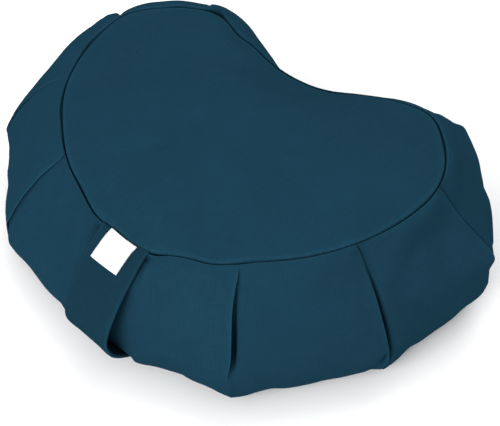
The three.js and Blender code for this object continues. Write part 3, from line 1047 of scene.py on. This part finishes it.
    def _folded(self, index: int, level: Array) -> tuple[Array, Array, Array]:
        """Makes the columns of a pleat's fold.

        Args:
            index: Which pleat.
            level: The levels that each column is drawn at.

        Returns:
            The points, which way each looks, and how worn the cloth is.
        """
        rows = spline(np.array(self.lap), self.fold_steps)
        worn = bell((np.arange(len(rows)) / self.fold_steps - self.edge_row) / self.edge_rub)
        pleat = self.pleats[index]
        before = (index - 1) % len(self.pleats)
        edge, opening = self.edge(pleat, level), self.opening(pleat, level)
        out = self.section(self.crescent.at(edge), level, pleat.taut)[0]
        stretch = 1 + out * self.crescent.at(edge).bend
        sewn, along, deep, below, gap = (rows[:, i : i + 1] for i in range(5))
        widest = bell((level - pleat.low) / pleat.spread) * opening
        s = edge + mix(sewn, along * pleat.fold, opening * min(1, pleat.fold)) / stretch
        s = s + self.gap_width * pleat.gap * widest * gap * below / stretch
        lapped = mix(self.sewn_depth, 1, opening)
        depth = (deep * pleat.step * pleat.fold + gap * pleat.gap * widest) * lapped - self._lift(s, level)
        grid = np.broadcast_to(level, s.shape)
        over, place, over_facing = self.face(before, s + self._after(before)[1], grid)
        under, _, under_facing = self.face(index, s, grid)
        normal = self._normal(place, mix(over_facing, under_facing, below))
        points = mix(over, under, below[..., None]) - normal * depth[..., None]
        return points, normal, worn[:, None] * opening * min(1, pleat.fold)

    def _spread(self, index: int, level: Array) -> tuple[Array, Array, Array]:
        """Makes the columns of the cloth between a pleat and the next one.

        Args:
            index: The pleat before the cloth.
            level: The levels that each column is drawn at.

        Returns:
            The points, which way each looks, and how worn the cloth is.
        """
        following, lap = self._after(index)
        s = self._between(self.edge(self.pleats[index], level), self.edge(following, level) + lap)
        cloth, place, facing = self.face(index, s, np.broadcast_to(level, s.shape))
        normal = self._normal(place, facing)
        return cloth + normal * self._lift(s, level)[..., None], normal, np.zeros(s.shape)

    def under_handle(self, points: Array, normals: Array, level: Array) -> Array:
        """Presses the wall in where the handle lies on it, so that it swells at both sides.

        Args:
            points: The wall's points, by column and by level.
            normals: Which way each looks.
            level: The levels.

        Returns:
            The moved points.
        """
        half = self.handle.width / 2
        from_centre = points[..., 0] - self.handle.aside(points[..., 2]) - self.handle.centre
        beside = np.maximum(0, np.abs(from_centre) - half - self.strap_margin)
        front = points[..., 1] < 0
        puffed = bell((np.abs(from_centre) - half - self.swell_at) / self.swell_wide) * front
        puffed = puffed * self.strap_swell * self.ramp(level, self.swell_ramp)
        points = points + normals * puffed[..., None]
        near = front & (beside <= self.strap_shoulder)
        x = from_centre[near] + self.handle.centre
        y, z = points[near][:, 1], points[near][:, 2]
        across = np.clip(x, self.handle.centre - half, self.handle.centre + half)
        down = np.broadcast_to(level, beside.shape)[near]
        sunk = smooth(down, self.seam_level / 2, self.sunk_level)
        sewn_room = self.handle.end_thickness + self.sewn_clearance
        room = mix(sewn_room, self.handle.thickness + self.strap_clearance, sunk)
        past = self.handle.past(across, self.crescent.foremost - y, z) + room
        give = 1 - smooth(beside[near], 0, self.strap_shoulder)
        pressed = points.copy()
        pressed[near] -= normals[near] * (np.maximum(0, past) * give * sunk)[:, None]
        return pressed

    def build(self, drawing: Drawing, material: bpy.types.Material) -> bpy.types.Object:
        """Args:
            drawing: Where the drawing lies in the shared frame.
            material: What the wall is made of.

        Returns:
            The wall.
        """
        lip = self.seam_level * np.array(self.lip_rows)
        level = np.concatenate([lip, np.linspace(self.seam_level, 1, self.levels)])
        made = [part(i, level) for i in range(len(self.pleats)) for part in (self._folded, self._spread)]
        points, normals, wear = (np.concatenate(columns) for columns in zip(*made))
        soft = self.ramp(level, self.lump_ramp)
        for lump in self.lumps:
            points = points + normals * (lump.at(points) * soft)[..., None]
        points = self._settle(points, level)
        points = self.under_handle(points, normals, level)
        seam_at = self._seam_places()
        points = self._rolled(points, normals, level, seam_at)
        rings = [self._crown(seam_at, scale) for scale in self.crown_rows]
        floor = [(1, 0), (1, self.base_bed), (self.floor_middle, self.base_bed)]
        under = [self._floor(seam_at, scale, z) for scale, z in floor]
        stacked = np.array(rings + list(points.transpose(1, 0, 2)) + under)
        first = np.array([0, self.crescent.fan_y, self._crown(seam_at, 0.0)[0, 2]])
        last = np.array([0, self.crescent.fan_y, self.base_bed])
        from_seam = level / self.seam_level
        wear = wear + self.seam_rub * bell((from_seam - self.seam_rub_at) / self.seam_rub_wide)
        stacked_wear = np.zeros(stacked.shape[:2])
        stacked_wear[len(rings) : len(rings) + len(level)] = wear.T
        body = Body("wall_cloth", stacked, first, last, self._weave(stacked), stacked_wear)
        built = body.build(drawing, material)
        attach(built, "root")
        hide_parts("side_wall")
        return built

    def _settle(self, points: Array, level: Array) -> Array:
        """Lets the cloth between the folds settle; the folds, the seam and the floor hold it.

        Args:
            points: The wall's points, by column and by level.
            level: The levels.

        Returns:
            The settled points.
        """
        every = len(points) // len(self.pleats)
        free = range(self.free_from, every, self.column_step)
        picked = np.array([*self.free_lap, *self.sewn_columns, *free])
        columns = (np.arange(len(self.pleats))[:, None] * every + picked).ravel()
        sewn = np.tile(np.isin(picked, self.sewn_columns), len(self.pleats))
        rows = np.arange(0, len(level), self.level_step)
        ends = (level[rows] < self.free_levels[0]) | (level[rows] > self.free_levels[1])
        return self.settling.settle(points, columns, rows, sewn[:, None] | ends)

    def _seam_places(self) -> Array:
        """Gives where the wall's columns stand along the top seam.

        Returns:
            Millimetres along the seam, one for each column.
        """
        sewn = spline(np.array(self.lap), self.fold_steps)[:, 0]
        places = []
        for index, pleat in enumerate(self.pleats):
            following, lap = self._after(index)
            places += [pleat.at + sewn, self._between(pleat.at, following.at + lap).ravel()]
        return np.concatenate(places)

    def _rolled(self, points: Array, normals: Array, level: Array, seam_at: Array) -> Array:
        """Rolls the wall's upper edge into the seam, and parts it from the top where the seam gapes.

        Args:
            points: The wall's points, by column and by level.
            normals: Which way each looks.
            level: The levels.
            seam_at: Where the columns stand along the seam.

        Returns:
            The moved points, none of them under the floor.
        """
        roll = 1 - np.sqrt(1 - (1 - np.clip(level / self.seam_level, 0, 1)) ** 2)
        place = self.crescent.at(seam_at)
        gape = self.crescent.gape(seam_at)[:, None]
        points = points - normals * (roll * (self.lip_depth + gape))[..., None]
        parted = gape * self.gape_share * (1 - smooth(level, 0, self.gape_level))
        points[..., 0] += place.out_x[:, None] * parted
        points[..., 1] += place.out_y[:, None] * parted
        points[..., 2] = np.maximum(points[..., 2], 0)
        return points

    def _crown(self, seam_at: Array, scale: float) -> Array:
        """Gives a ring of the filling's crown, under the top panel."""
        return self.crescent.crown_ring(seam_at, 0.0, scale) - np.array([0, 0, self.crown_bed])

    def _floor(self, seam_at: Array, scale: float, z: float) -> Array:
        """Gives a ring on the floor or over the base panel, with room for the handle's end.

        Args:
            seam_at: Where the ring's points stand along the seam.
            scale: 1 at the base's edge and 0 at the fan's centre.
            z: How high the ring lies.

        Returns:
            The ring's points.
        """
        x, y = self.crescent.ring(seam_at, self.base_inset, scale)
        beside = np.abs(x - self.handle.centre) - self.handle.width / 2
        clear = 1 - smooth(beside, self.strap_margin, 2 * self.strap_margin)
        over = (self.handle.thickness + self.strap_clearance) * clear
        lifted = np.where((y < 0) & (scale == 1), over, 0)
        return np.stack([x, y, np.maximum(z, lifted)], axis=-1)

    def _weave(self, rings: Array) -> Array:
        """Lays the weave over the rings: round the bulge, and down each column.

        Args:
            rings: The wall's rings.

        Returns:
            The weave's place at each point, with the first column once more at the end.
        """
        bulge = rings[int(len(rings) * self.weave_row)]
        steps = np.linalg.norm(np.diff(bulge, axis=0, append=bulge[:1]), axis=1)
        around = np.concatenate([[0.0], np.cumsum(steps)])
        drops = np.linalg.norm(np.diff(rings, axis=0), axis=2)
        down = np.vstack([np.zeros(rings.shape[1]), np.cumsum(drops, axis=0)])
        down = np.hstack([down, down[:, :1]])
        return np.stack(np.broadcast_arrays(around[None], down), axis=-1)


@dataclass(frozen=True)
class Panel:
    """A crescent of cloth: the crowned top or the flat base.

    reach is about how far its middle lies from its edge. edge_rows are the rings' distances from the edge,
    and inner_rows the first and last scale of the rings inside them, and how many there are.
    """

    crescent: Crescent
    name: str
    node: str
    thickness: float = 0.8
    inset: float = 0.4
    crowned: bool = True
    crown_growth: float = 0.035
    height: float = 1.4
    edge_width: float = 2.6
    edge_drop: float = 1.8
    rub: float = 0.6
    rub_width: float = 2.5
    reach: float = 120.0
    columns: int = 315
    edge_rows: tuple[float, ...] = (0, 0.15, 0.4, 0.8, 1.3, 2.0, 2.8, 3.7, 4.7, 6.2, 8.5, 11)
    inner_rows: tuple[float, float, int] = (0.03, 0.89, 34)
    settling: Settling = Settling()
    free_from: int = 10
    row_step: int = 2
    column_step: int = 5
    lumps: tuple[Unevenness, ...] = (Unevenness(21, 60, 0.5), Unevenness(22, 24, 0.14))
    lumps_from: tuple[float, float] = (3.0, 25.0)

    def build(self, drawing: Drawing, material: bpy.types.Material) -> bpy.types.Object:
        """Args:
            drawing: Where the drawing lies in the shared frame.
            material: What the panel is made of.

        Returns:
            The panel.
        """
        s = np.linspace(0, self.crescent.length, self.columns, endpoint=False)
        edge = 1 - np.array(self.edge_rows) / self.reach
        scales = np.concatenate([np.linspace(*self.inner_rows), edge[::-1]])
        upper = np.array([self._ring(s, scale) for scale in scales])
        if self.crowned:
            upper = self._settle(upper)
        lower = upper[::-1].copy()
        lower[..., 2] -= self.thickness
        rings = np.concatenate([upper, lower])
        worn = bell((1 - scales) * self.reach / self.rub_width) * self.rub
        wear = np.tile(np.concatenate([worn, worn[::-1]])[:, None], (1, self.columns))
        first = self._ring(s, 0.0)[0]
        last = first - np.array([0, 0, self.thickness])
        wrapped = np.concatenate([rings, rings[:, :1]], axis=1)
        made = Body(self.name, rings, first, last, wrapped[..., :2], wear).build(drawing, material)
        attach(made, "root")
        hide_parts(self.node)
        return made

    def _ring(self, s: Array, scale: float) -> Array:
        """Gives a ring of the panel's upper face.

        Args:
            s: Millimetres along the crescent's line.
            scale: 1 at the line and 0 at the fan's centre.

        Returns:
            The ring's points.
        """
        if not self.crowned:
            x, y = self.crescent.ring(s, self.inset, scale)
            return np.stack([x, y, np.full_like(x, self.height)], axis=-1)
        ring = self.crescent.crown_ring(s, self.inset, scale)
        from_edge = (1 - scale) * self.reach
        rolled = 1 - math.sqrt(1 - (1 - min(1.0, from_edge / self.edge_width)) ** 2)
        ring[:, 2] -= self.edge_drop * rolled
        near = float(smooth(from_edge, *self.lumps_from))
        for lump in self.lumps:
            ring[:, 2] += lump.at(ring) * near
        return ring

    def _settle(self, upper: Array) -> Array:
        """Lets the outer part of the top settle; the seam and the middle hold it.

        Args:
            upper: The rings of the upper face, from the middle to the edge.

        Returns:
            The settled rings.
        """
        rows = np.arange(self.free_from, len(upper) - 1, self.row_step)
        columns = np.arange(0, self.columns, self.column_step)
        held = np.isin(rows, (rows[0], rows[-1]))[None] | np.zeros((len(columns), 1), dtype=bool)
        return self.settling.settle(upper.transpose(1, 0, 2), columns, rows, held).transpose(1, 0, 2)


class Side(Enum):
    """The label's edges that are sewn down."""

    LEFT = "left"
    RIGHT = "right"
    LOWER = "lower"


@dataclass(frozen=True)
class Stitches:
    """Machine stitches that follow a line, made by Geometry Nodes. Sizes are in millimetres."""

    pitch: float = 2.6
    length: float = 1.9
    width: float = 0.45
    unevenness: float = 0.12
    seed: int = 31
    segments: int = 10
    rings: int = 8

    def tree(self, thread: bpy.types.Material) -> bpy.types.NodeTree:
        """Makes the node tree: it spaces the line, lays a stitch on each point and sets the thread.

        Args:
            thread: What the stitches are made of.

        Returns:
            The tree, with inputs for the line and for the stitches' sizes.
        """
        tree = bpy.data.node_groups.new("stitches", "GeometryNodeTree")
        face = tree.interface
        face.new_socket("Line", in_out="INPUT", socket_type="NodeSocketGeometry")
        for name in ("Pitch", "Length", "Width", "Unevenness"):
            face.new_socket(name, in_out="INPUT", socket_type="NodeSocketFloat")
        face.new_socket("Stitches", in_out="OUTPUT", socket_type="NodeSocketGeometry")
        given = add_node(tree, "NodeGroupInput").outputs
        curve = add_node(tree, "GeometryNodeMeshToCurve", {0: given["Line"]})
        spacing = {"Curve": curve, "Length": given["Pitch"]}
        spaced = add_node(tree, "GeometryNodeResampleCurve", spacing, mode="LENGTH")
        ends = {0: (-1.0, -1.0, -1.0), 1: (1.0, 1.0, 1.0), "Seed": self.seed}
        stray = add_node(tree, "FunctionNodeRandomValue", ends, data_type="FLOAT_VECTOR")
        strays = {0: stray, "Scale": given["Unevenness"]}
        uneven = add_node(tree, "ShaderNodeVectorMath", strays, operation="SCALE")
        along = add_node(tree, "GeometryNodeInputTangent")
        turned = add_node(tree, "ShaderNodeVectorMath", {0: along, 1: uneven}, operation="ADD")
        turn = add_node(tree, "FunctionNodeAlignRotationToVector", {"Vector": turned}, axis="Z")
        sizes = {0: given["Width"], 1: given["Width"], 2: given["Length"]}
        size = add_node(tree, "ShaderNodeCombineXYZ", sizes)
        shape = {"Segments": self.segments, "Rings": self.rings, "Radius": 0.5}
        one = add_node(tree, "GeometryNodeMeshUVSphere", shape)
        laying = {"Points": spaced, "Instance": one.outputs["Mesh"], "Rotation": turn, "Scale": size}
        laid = add_node(tree, "GeometryNodeInstanceOnPoints", laying)
        real = add_node(tree, "GeometryNodeRealizeInstances", {0: laid})
        soft = add_node(tree, "GeometryNodeSetShadeSmooth", {0: real})
        done = add_node(tree, "GeometryNodeSetMaterial", {"Geometry": soft, "Material": thread})
        add_node(tree, "NodeGroupOutput", {0: done})
        return tree

    def build(self, name: str, lines: list[Array], thread: bpy.types.Material) -> bpy.types.Object:
        """Lays stitches along lines.

        Args:
            name: The new object's name.
            lines: Places on each line in the shared frame, in metres.
            thread: What the stitches are made of.

        Returns:
            The stitches as one plain mesh.
        """
        sizes = {
            "Pitch": self.pitch * MM,
            "Length": self.length * MM,
            "Width": self.width * MM,
            "Unevenness": self.unevenness,
        }
        points = np.concatenate(lines)
        steps = np.arange(len(points) - 1)
        breaks = np.cumsum([len(line) for line in lines])[:-1] - 1
        kept = np.setdiff1d(steps, breaks)
        mesh = bpy.data.meshes.new("stitch_line")
        mesh.from_pydata(points.tolist(), np.stack([kept, kept + 1], axis=1).tolist(), [])
        line = add_object("stitch_line", mesh)
        modifier = line.modifiers.new("stitches", "NODES")
        modifier.node_group = self.tree(thread)
        for item in modifier.node_group.interface.items_tree:
            if item.name in sizes:
                modifier[item.identifier] = sizes[item.name]
        evaluated = line.evaluated_get(bpy.context.evaluated_depsgraph_get())
        plain = bpy.data.meshes.new_from_object(evaluated)
        bpy.data.objects.remove(line)
        plain.name = name
        return add_object(name, plain)


@dataclass(frozen=True)
class SewnLabel:
    """The bare label on the handle, with its stitches."""

    handle: CarryHandle
    thread: bpy.types.Material
    width: float = 28.0
    length: float = 27.6
    thickness: float = 0.6
    edge_round: float = 0.5
    above: float = 0.75
    drop: float = -1.0
    skew: float = -2.8
    stitches: Stitches = Stitches()
    stitch_inset: float = 1.6
    stitch_steps: int = 30
    across: int = 16
    down: int = 30
    fine: int = 12

    def surface(self, u: Array, v: Array, lift: Array | float) -> Array:
        """Gives points over the handle's face.

        Args:
            u: Places across the label, from -0.5 to 0.5.
            v: Places down it, from 0 to 1.
            lift: How far above the handle's face.

        Returns:
            The points.
        """
        middle = self.handle.face(np.array([self.handle.centre]), self.fine)[0]
        run = np.concatenate([[0], np.cumsum(np.linalg.norm(np.diff(middle, axis=0), axis=1))])
        step = np.interp(self.drop + v * self.length, run, np.arange(len(run)))
        x = self.handle.centre + u * self.width + self.skew * v
        lines = self.handle.face(x, self.fine)
        low = np.clip(step.astype(int), 0, len(run) - 2)
        rows = np.arange(len(x))
        here, there = lines[rows, low], lines[rows, low + 1]
        slope = (there - here) / np.linalg.norm(there - here, axis=1)[:, None]
        point = mix(here, there, (step - low)[:, None])
        out = point[:, 0] - slope[:, 1] * lift
        up = point[:, 1] + slope[:, 0] * lift
        return np.stack([x + self.handle.aside(up), self.handle.crescent.foremost - out, up], axis=-1)

    def build(self, drawing: Drawing, material: bpy.types.Material) -> bpy.types.Object:
        """Makes the label as a thin closed sheet on the handle.

        Args:
            drawing: Where the drawing lies in the shared frame.
            material: What the label is made of.

        Returns:
            The label.
        """
        u = np.linspace(-0.5, 0.5, self.across)
        v = np.linspace(0, 1, self.down)
        loops = []
        for level in v:
            row = np.full_like(u, level)
            edge = self._edge(u, row)
            top = self.surface(u, row, self.above + self.thickness * (1 + edge) / 2)
            under = self.surface(u, row, self.above + self.thickness * (1 - edge) / 2)
            loops.append(np.concatenate([top, under[-2:0:-1]]))
        rings = np.array(loops)
        sides = np.concatenate([u, 1 - u[::-1][1:]]) * self.width
        weave = np.stack(np.broadcast_arrays(sides[None], v[:, None] * self.length), axis=-1)
        first, last = rings[0].mean(axis=0), rings[-1].mean(axis=0)
        wear = np.zeros(rings.shape[:2])
        made = Body("label_cloth", rings, first, last, weave, wear).build(drawing, material)
        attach(made, "root")
        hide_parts("sewn_label")
        lines = [drawing.place(self._sewn(side)) for side in Side]
        sewing = self.stitches.build("label_stitches", lines, self.thread)
        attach(sewing, "root")
        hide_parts("sewn_label")
        return made

    def _sewn(self, side: Side) -> Array:
        """Gives the line that the stitches follow.

        Args:
            side: The side that is sewn down.

        Returns:
            The line's points.
        """
        aside, below = 0.5 - self.stitch_inset / self.width, self.stitch_inset / self.length
        share = np.linspace(0, 1, self.stitch_steps)
        u = {Side.LEFT: -aside, Side.RIGHT: aside, Side.LOWER: mix(-aside, aside, share)}[side]
        v = 1 - below if side is Side.LOWER else mix(below, 1 - below, share)
        u, v = np.broadcast_to(u, share.shape), np.broadcast_to(v, share.shape)
        return self.surface(u, v, self.above + self.thickness)

    def _edge(self, u: Array, v: Array) -> Array:
        """Tells how full the label's thickness is.

        Args:
            u: Places across the label, from -0.5 to 0.5.
            v: Places down it, from 0 to 1.

        Returns:
            0 at its cut sides and 1 inside, for each place.
        """
        side = np.clip((0.5 - np.abs(u)) * self.width / self.edge_round, 0, 1)
        end = np.clip(np.minimum(v, 1 - v) * self.length / self.edge_round, 0, 1)
        return np.sqrt(1 - (1 - np.minimum(side, end)) ** 2)


@dataclass(frozen=True)
class Finish:
    """What every finish has: the name of the real material and its colour."""

    name: str
    colour: str

    def start(self) -> tuple[bpy.types.Material, bpy.types.NodeTree, bpy.types.Node]:
        """Makes an empty material.

        Returns:
            The material, its node tree and its shader.
        """
        made = bpy.data.materials.new(self.name)
        made.use_nodes = True
        return made, made.node_tree, made.node_tree.nodes["Principled BSDF"]


@dataclass(frozen=True)
class CanvasFinish(Finish):
    """Plain-woven cotton canvas, dyed in the piece: matt, a little fuzzy, paler where it rubs.

    yarn and relief are in millimetres. slub and cloud are how many lumps there are to a millimetre of
    cloth: for a slub along its yarn and across it, and for the dye's clouds both ways.
    """

    name: str = "dyed cotton canvas, plain weave"
    colour: str = "153241"
    worn_colour: str = "1b3e4f"
    sheen_colour: str = "3f7f96"
    sheen: float = 0.02
    sheen_roughness: float = 0.45
    yarn: float = 0.7
    relief: float = 0.1
    bump: float = 0.3
    slub: tuple[float, float] = (0.06, 1.1)
    slub_height: float = 0.5
    slub_contrast: float = 0.1
    cloud: float = 0.012
    mottle: float = 0.05
    detail: float = 3.0
    roughness: tuple[float, float] = (0.82, 0.94)

    def material(self) -> bpy.types.Material:
        """Makes the material.

        Returns:
            A material that reads the weave map and the wear attribute.
        """
        made, tree, shader = self.start()
        weave = add_node(tree, "ShaderNodeUVMap", uv_map=WEAVE_MAP)
        # Each yarn crossing stands up as one knuckle. The real yarns are half as wide, too fine to show.
        halves = (math.pi / self.yarn, math.pi / self.yarn, 0.0)
        turned = add_node(tree, "ShaderNodeMapping", {"Vector": weave, "Scale": halves})
        apart = add_node(tree, "ShaderNodeSeparateXYZ", {"Vector": turned}).outputs
        ridges = [add_node(tree, "ShaderNodeMath", {0: apart[axis]}, operation="SINE") for axis in "XY"]
        both = add_node(tree, "ShaderNodeMath", {0: ridges[0], 1: ridges[1]}, operation="MULTIPLY")
        knuckle = add_node(tree, "ShaderNodeMath", {0: both}, operation="ABSOLUTE")
        # Slubs are thicker stretches of yarn, long across and down the cloth. The dye takes unevenly in
        # clouds about as wide as a hand.
        long, short = self.slub
        noises = []
        for scale in ((long, short, 1.0), (short, long, 1.0), (self.cloud, self.cloud, 1.0)):
            turned = add_node(tree, "ShaderNodeMapping", {"Vector": weave, "Scale": scale})
            lumps = {"Vector": turned, "Scale": 1.0, "Detail": self.detail}
            noises.append(add_node(tree, "ShaderNodeTexNoise", lumps))
        across, down, cloud = noises
        slubs = add_node(tree, "ShaderNodeMath", {0: across, 1: down}, operation="ADD")
        # Each pattern's usual lowest and highest value, and how far it turns the tone either way.
        spans = ((cloud, 0.3, 0.7, self.mottle), (slubs, 0.7, 1.3, self.slub_contrast))
        tones = []
        for pattern, low, high, turn in spans:
            ends = {"From Min": low, "From Max": high, "To Min": 1 - turn, "To Max": 1 + turn}
            tones.append(add_node(tree, "ShaderNodeMapRange", {"Value": pattern, **ends}))
        shade, grain = tones
        value = add_node(tree, "ShaderNodeMath", {0: shade, 1: grain}, operation="MULTIPLY")
        # Cloth that rubs loses some of its dye, most on the thick yarns.
        worn = add_node(tree, "ShaderNodeAttribute", attribute_name=WEAR).outputs["Fac"]
        rubbed = add_node(tree, "ShaderNodeMath", {0: worn, 1: grain}, operation="MULTIPLY")
        dyes = {"Factor": rubbed, "A": linear(self.colour), "B": linear(self.worn_colour)}
        dyed = add_node(tree, "ShaderNodeMix", dyes, data_type="RGBA").outputs["Result"]
        toned = add_node(tree, "ShaderNodeVectorMath", {0: dyed, "Scale": value}, operation="SCALE")
        ends = {"To Min": self.roughness[0], "To Max": self.roughness[1]}
        rough = add_node(tree, "ShaderNodeMapRange", {"Value": slubs, **ends})
        heights = {0: slubs, 1: self.slub_height, 2: knuckle}
        relief = add_node(tree, "ShaderNodeMath", heights, operation="MULTIPLY_ADD")
        bumps = {"Strength": self.bump, "Distance": self.relief * MM, "Height": relief}
        bump = add_node(tree, "ShaderNodeBump", bumps)
        fill(shader, {"Metallic": 0.0, "Specular IOR Level": 0.0, "Sheen Weight": self.sheen})
        fill(shader, {"Sheen Roughness": self.sheen_roughness, "Sheen Tint": linear(self.sheen_colour)})
        fill(shader, {"Base Color": toned, "Roughness": rough, "Normal": bump})
        return made


@dataclass(frozen=True)
class SatinFinish(Finish):
    """Woven polyester satin, the usual cloth of sewn labels: fine, smooth and faintly glossy."""

    name: str = "woven satin label, blank"
    colour: str = "dfe2e2"
    sheen: float = 0.2
    pick: float = 0.5
    relief: float = 0.05
    bump: float = 0.3
    roughness: tuple[float, float] = (0.47, 0.63)

    def material(self) -> bpy.types.Material:
        """Makes the material, with its weft drawn as fine ridges.

        Returns:
            A material that reads the weave map.
        """
        made, tree, shader = self.start()
        weave = add_node(tree, "ShaderNodeUVMap", uv_map=WEAVE_MAP)
        turns = (0.0, 2 * math.pi / self.pick, 0.0)
        turned = add_node(tree, "ShaderNodeMapping", {"Vector": weave, "Scale": turns})
        apart = add_node(tree, "ShaderNodeSeparateXYZ", {"Vector": turned}).outputs
        ridge = add_node(tree, "ShaderNodeMath", {0: apart["Y"]}, operation="SINE")
        bumps = {"Strength": self.bump, "Distance": self.relief * MM, "Height": ridge}
        bump = add_node(tree, "ShaderNodeBump", bumps)
        ends = {"From Min": -1.0, "To Min": self.roughness[0], "To Max": self.roughness[1]}
        rough = add_node(tree, "ShaderNodeMapRange", {"Value": ridge, **ends})
        fill(shader, {"Base Color": linear(self.colour), "Sheen Weight": self.sheen})
        fill(shader, {"Roughness": rough, "Normal": bump})
        return made


@dataclass(frozen=True)
class ThreadFinish(Finish):
    """Spun polyester sewing thread: round, matt, with the twist of its plies."""

    name: str = "spun polyester sewing thread, white"
    colour: str = "e2e5e5"
    ply: float = 0.5
    slant: tuple[float, float, float] = (0.6, 0.4, 0.8)
    wander: float = 0.4
    relief: float = 0.05
    bump: float = 0.4
    roughness: float = 0.7

    def material(self) -> bpy.types.Material:
        """Makes the material, with the plies drawn as slanting ridges.

        Returns:
            A material that reads the object's own place.
        """
        made, tree, shader = self.start()
        place = add_node(tree, "ShaderNodeTexCoord").outputs["Object"]
        turns = 1 / (self.ply * MM)
        lie = {"Vector": place, "Rotation": self.slant, "Scale": (turns, turns, turns)}
        turned = add_node(tree, "ShaderNodeMapping", lie)
        waves = {"Vector": turned, "Scale": 1.0, "Distortion": self.wander}
        ridge = add_node(tree, "ShaderNodeTexWave", waves).outputs[1]
        bumps = {"Strength": self.bump, "Distance": self.relief * MM, "Height": ridge}
        bump = add_node(tree, "ShaderNodeBump", bumps)
        fill(shader, {"Base Color": linear(self.colour), "Roughness": self.roughness, "Normal": bump})
        return made


@dataclass(frozen=True)
class SoftLight:
    """A square soft light that looks at the cushion. Sizes are in metres, and power is in watts."""

    name: str
    at: tuple[float, float, float]
    size: float
    power: float

    def build(self) -> None:
        """Hangs the light."""
        data = bpy.data.lights.new(self.name, "AREA")
        data.shape = "SQUARE"
        data.size = self.size
        data.energy = self.power
        light = add_object(self.name, data)
        light.location = self.at
        light.rotation_euler = Vector(self.at).to_track_quat("Z", "Y").to_euler()


@dataclass(frozen=True)
class Studio:
    """A pale floor, soft light from the front and above, and the camera at the photo's angle."""

    floor_colour: str = "f3f3f3"
    floor_size: float = 8.0
    floor_drop: float = 0.3
    floor_roughness: float = 0.9
    world_strength: float = 0.94
    lights: tuple[SoftLight, ...] = (
        SoftLight("key", (0.15, -1.65, 1.1), 1.0, 27.5),
        SoftLight("top", (-0.25, 0.9, 1.7), 1.4, 15.0),
    )
    camera_at: tuple[float, float, float] = (0.5714, -0.7218, 1.1222)
    right: tuple[float, float, float] = (0.79705, 0.60391, 0.00117)
    up: tuple[float, float, float] = (-0.46176, 0.60818, 0.64568)
    back: tuple[float, float, float] = (0.38922, -0.51518, 0.76361)
    lens: float = 121.4
    sensor: float = 36.0

    def build(self) -> None:
        """Sets up the floor, the lights, the world and the camera."""
        self._floor()
        for light in self.lights:
            light.build()
        self._world()
        self._camera()
        bpy.context.scene.view_settings.view_transform = "Standard"

    def _floor(self) -> None:
        """Lays the floor."""
        half, z = self.floor_size / 2, -self.floor_drop * MM
        mesh = bpy.data.meshes.new("floor")
        rim = [(-half, -half, z), (half, -half, z), (half, half, z), (-half, half, z)]
        mesh.from_pydata(rim, [], [(0, 1, 2, 3)])
        material, _, shader = Finish("painted studio floor, matt", self.floor_colour).start()
        fill(shader, {"Base Color": linear(self.floor_colour), "Roughness": self.floor_roughness})
        mesh.materials.append(material)
        floor = add_object("floor", mesh)

    def _world(self) -> None:
        """Lights the scene evenly from all round."""
        world = bpy.data.worlds.new("studio")
        world.use_nodes = True
        shade = world.node_tree.nodes["Background"]
        fill(shade, {"Color": (1.0, 1.0, 1.0, 1.0), "Strength": self.world_strength})
        bpy.context.scene.world = world

    def _camera(self) -> None:
        """Sets the camera where the photo was taken from."""
        data = bpy.data.cameras.new("photo_angle")
        data.lens = self.lens
        data.sensor_width = self.sensor
        data.sensor_fit = "HORIZONTAL"
        camera = add_object("photo_angle", data)
        turned = Matrix((self.right, self.up, self.back)).transposed()
        camera.matrix_world = Matrix.Translation(self.camera_at) @ turned.to_4x4()
        bpy.context.scene.camera = camera


def main() -> None:
    """Builds the cushion and the studio, and reports each piece."""
    logging.basicConfig(level=logging.INFO, format="%(message)s")
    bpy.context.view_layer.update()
    crescent = Crescent()
    drawing = Drawing(crescent)
    canvas = CanvasFinish().material()
    doubled = CanvasFinish("dyed cotton canvas, doubled and pressed", "122c39", "183848").material()
    satin = SatinFinish().material()
    thread = ThreadFinish().material()
    handle = CarryHandle(crescent)
    wall = PleatedWall(crescent, handle)
    top = Panel(crescent, "top_cloth", "top_panel")
    base = Panel(crescent, "base_cloth", "base_panel", crowned=False, inset=6.4)
    label = SewnLabel(handle, thread)
    for piece, material in ((wall, canvas), (top, canvas), (base, canvas), (handle, doubled), (label, satin)):
        made = piece.build(drawing, material)
        LOG.info("%s: %d faces", made.name, len(made.data.polygons))
    Studio().build()
    LOG.info("studio: floor, lights and camera")


if __name__ == "__main__":
    main()
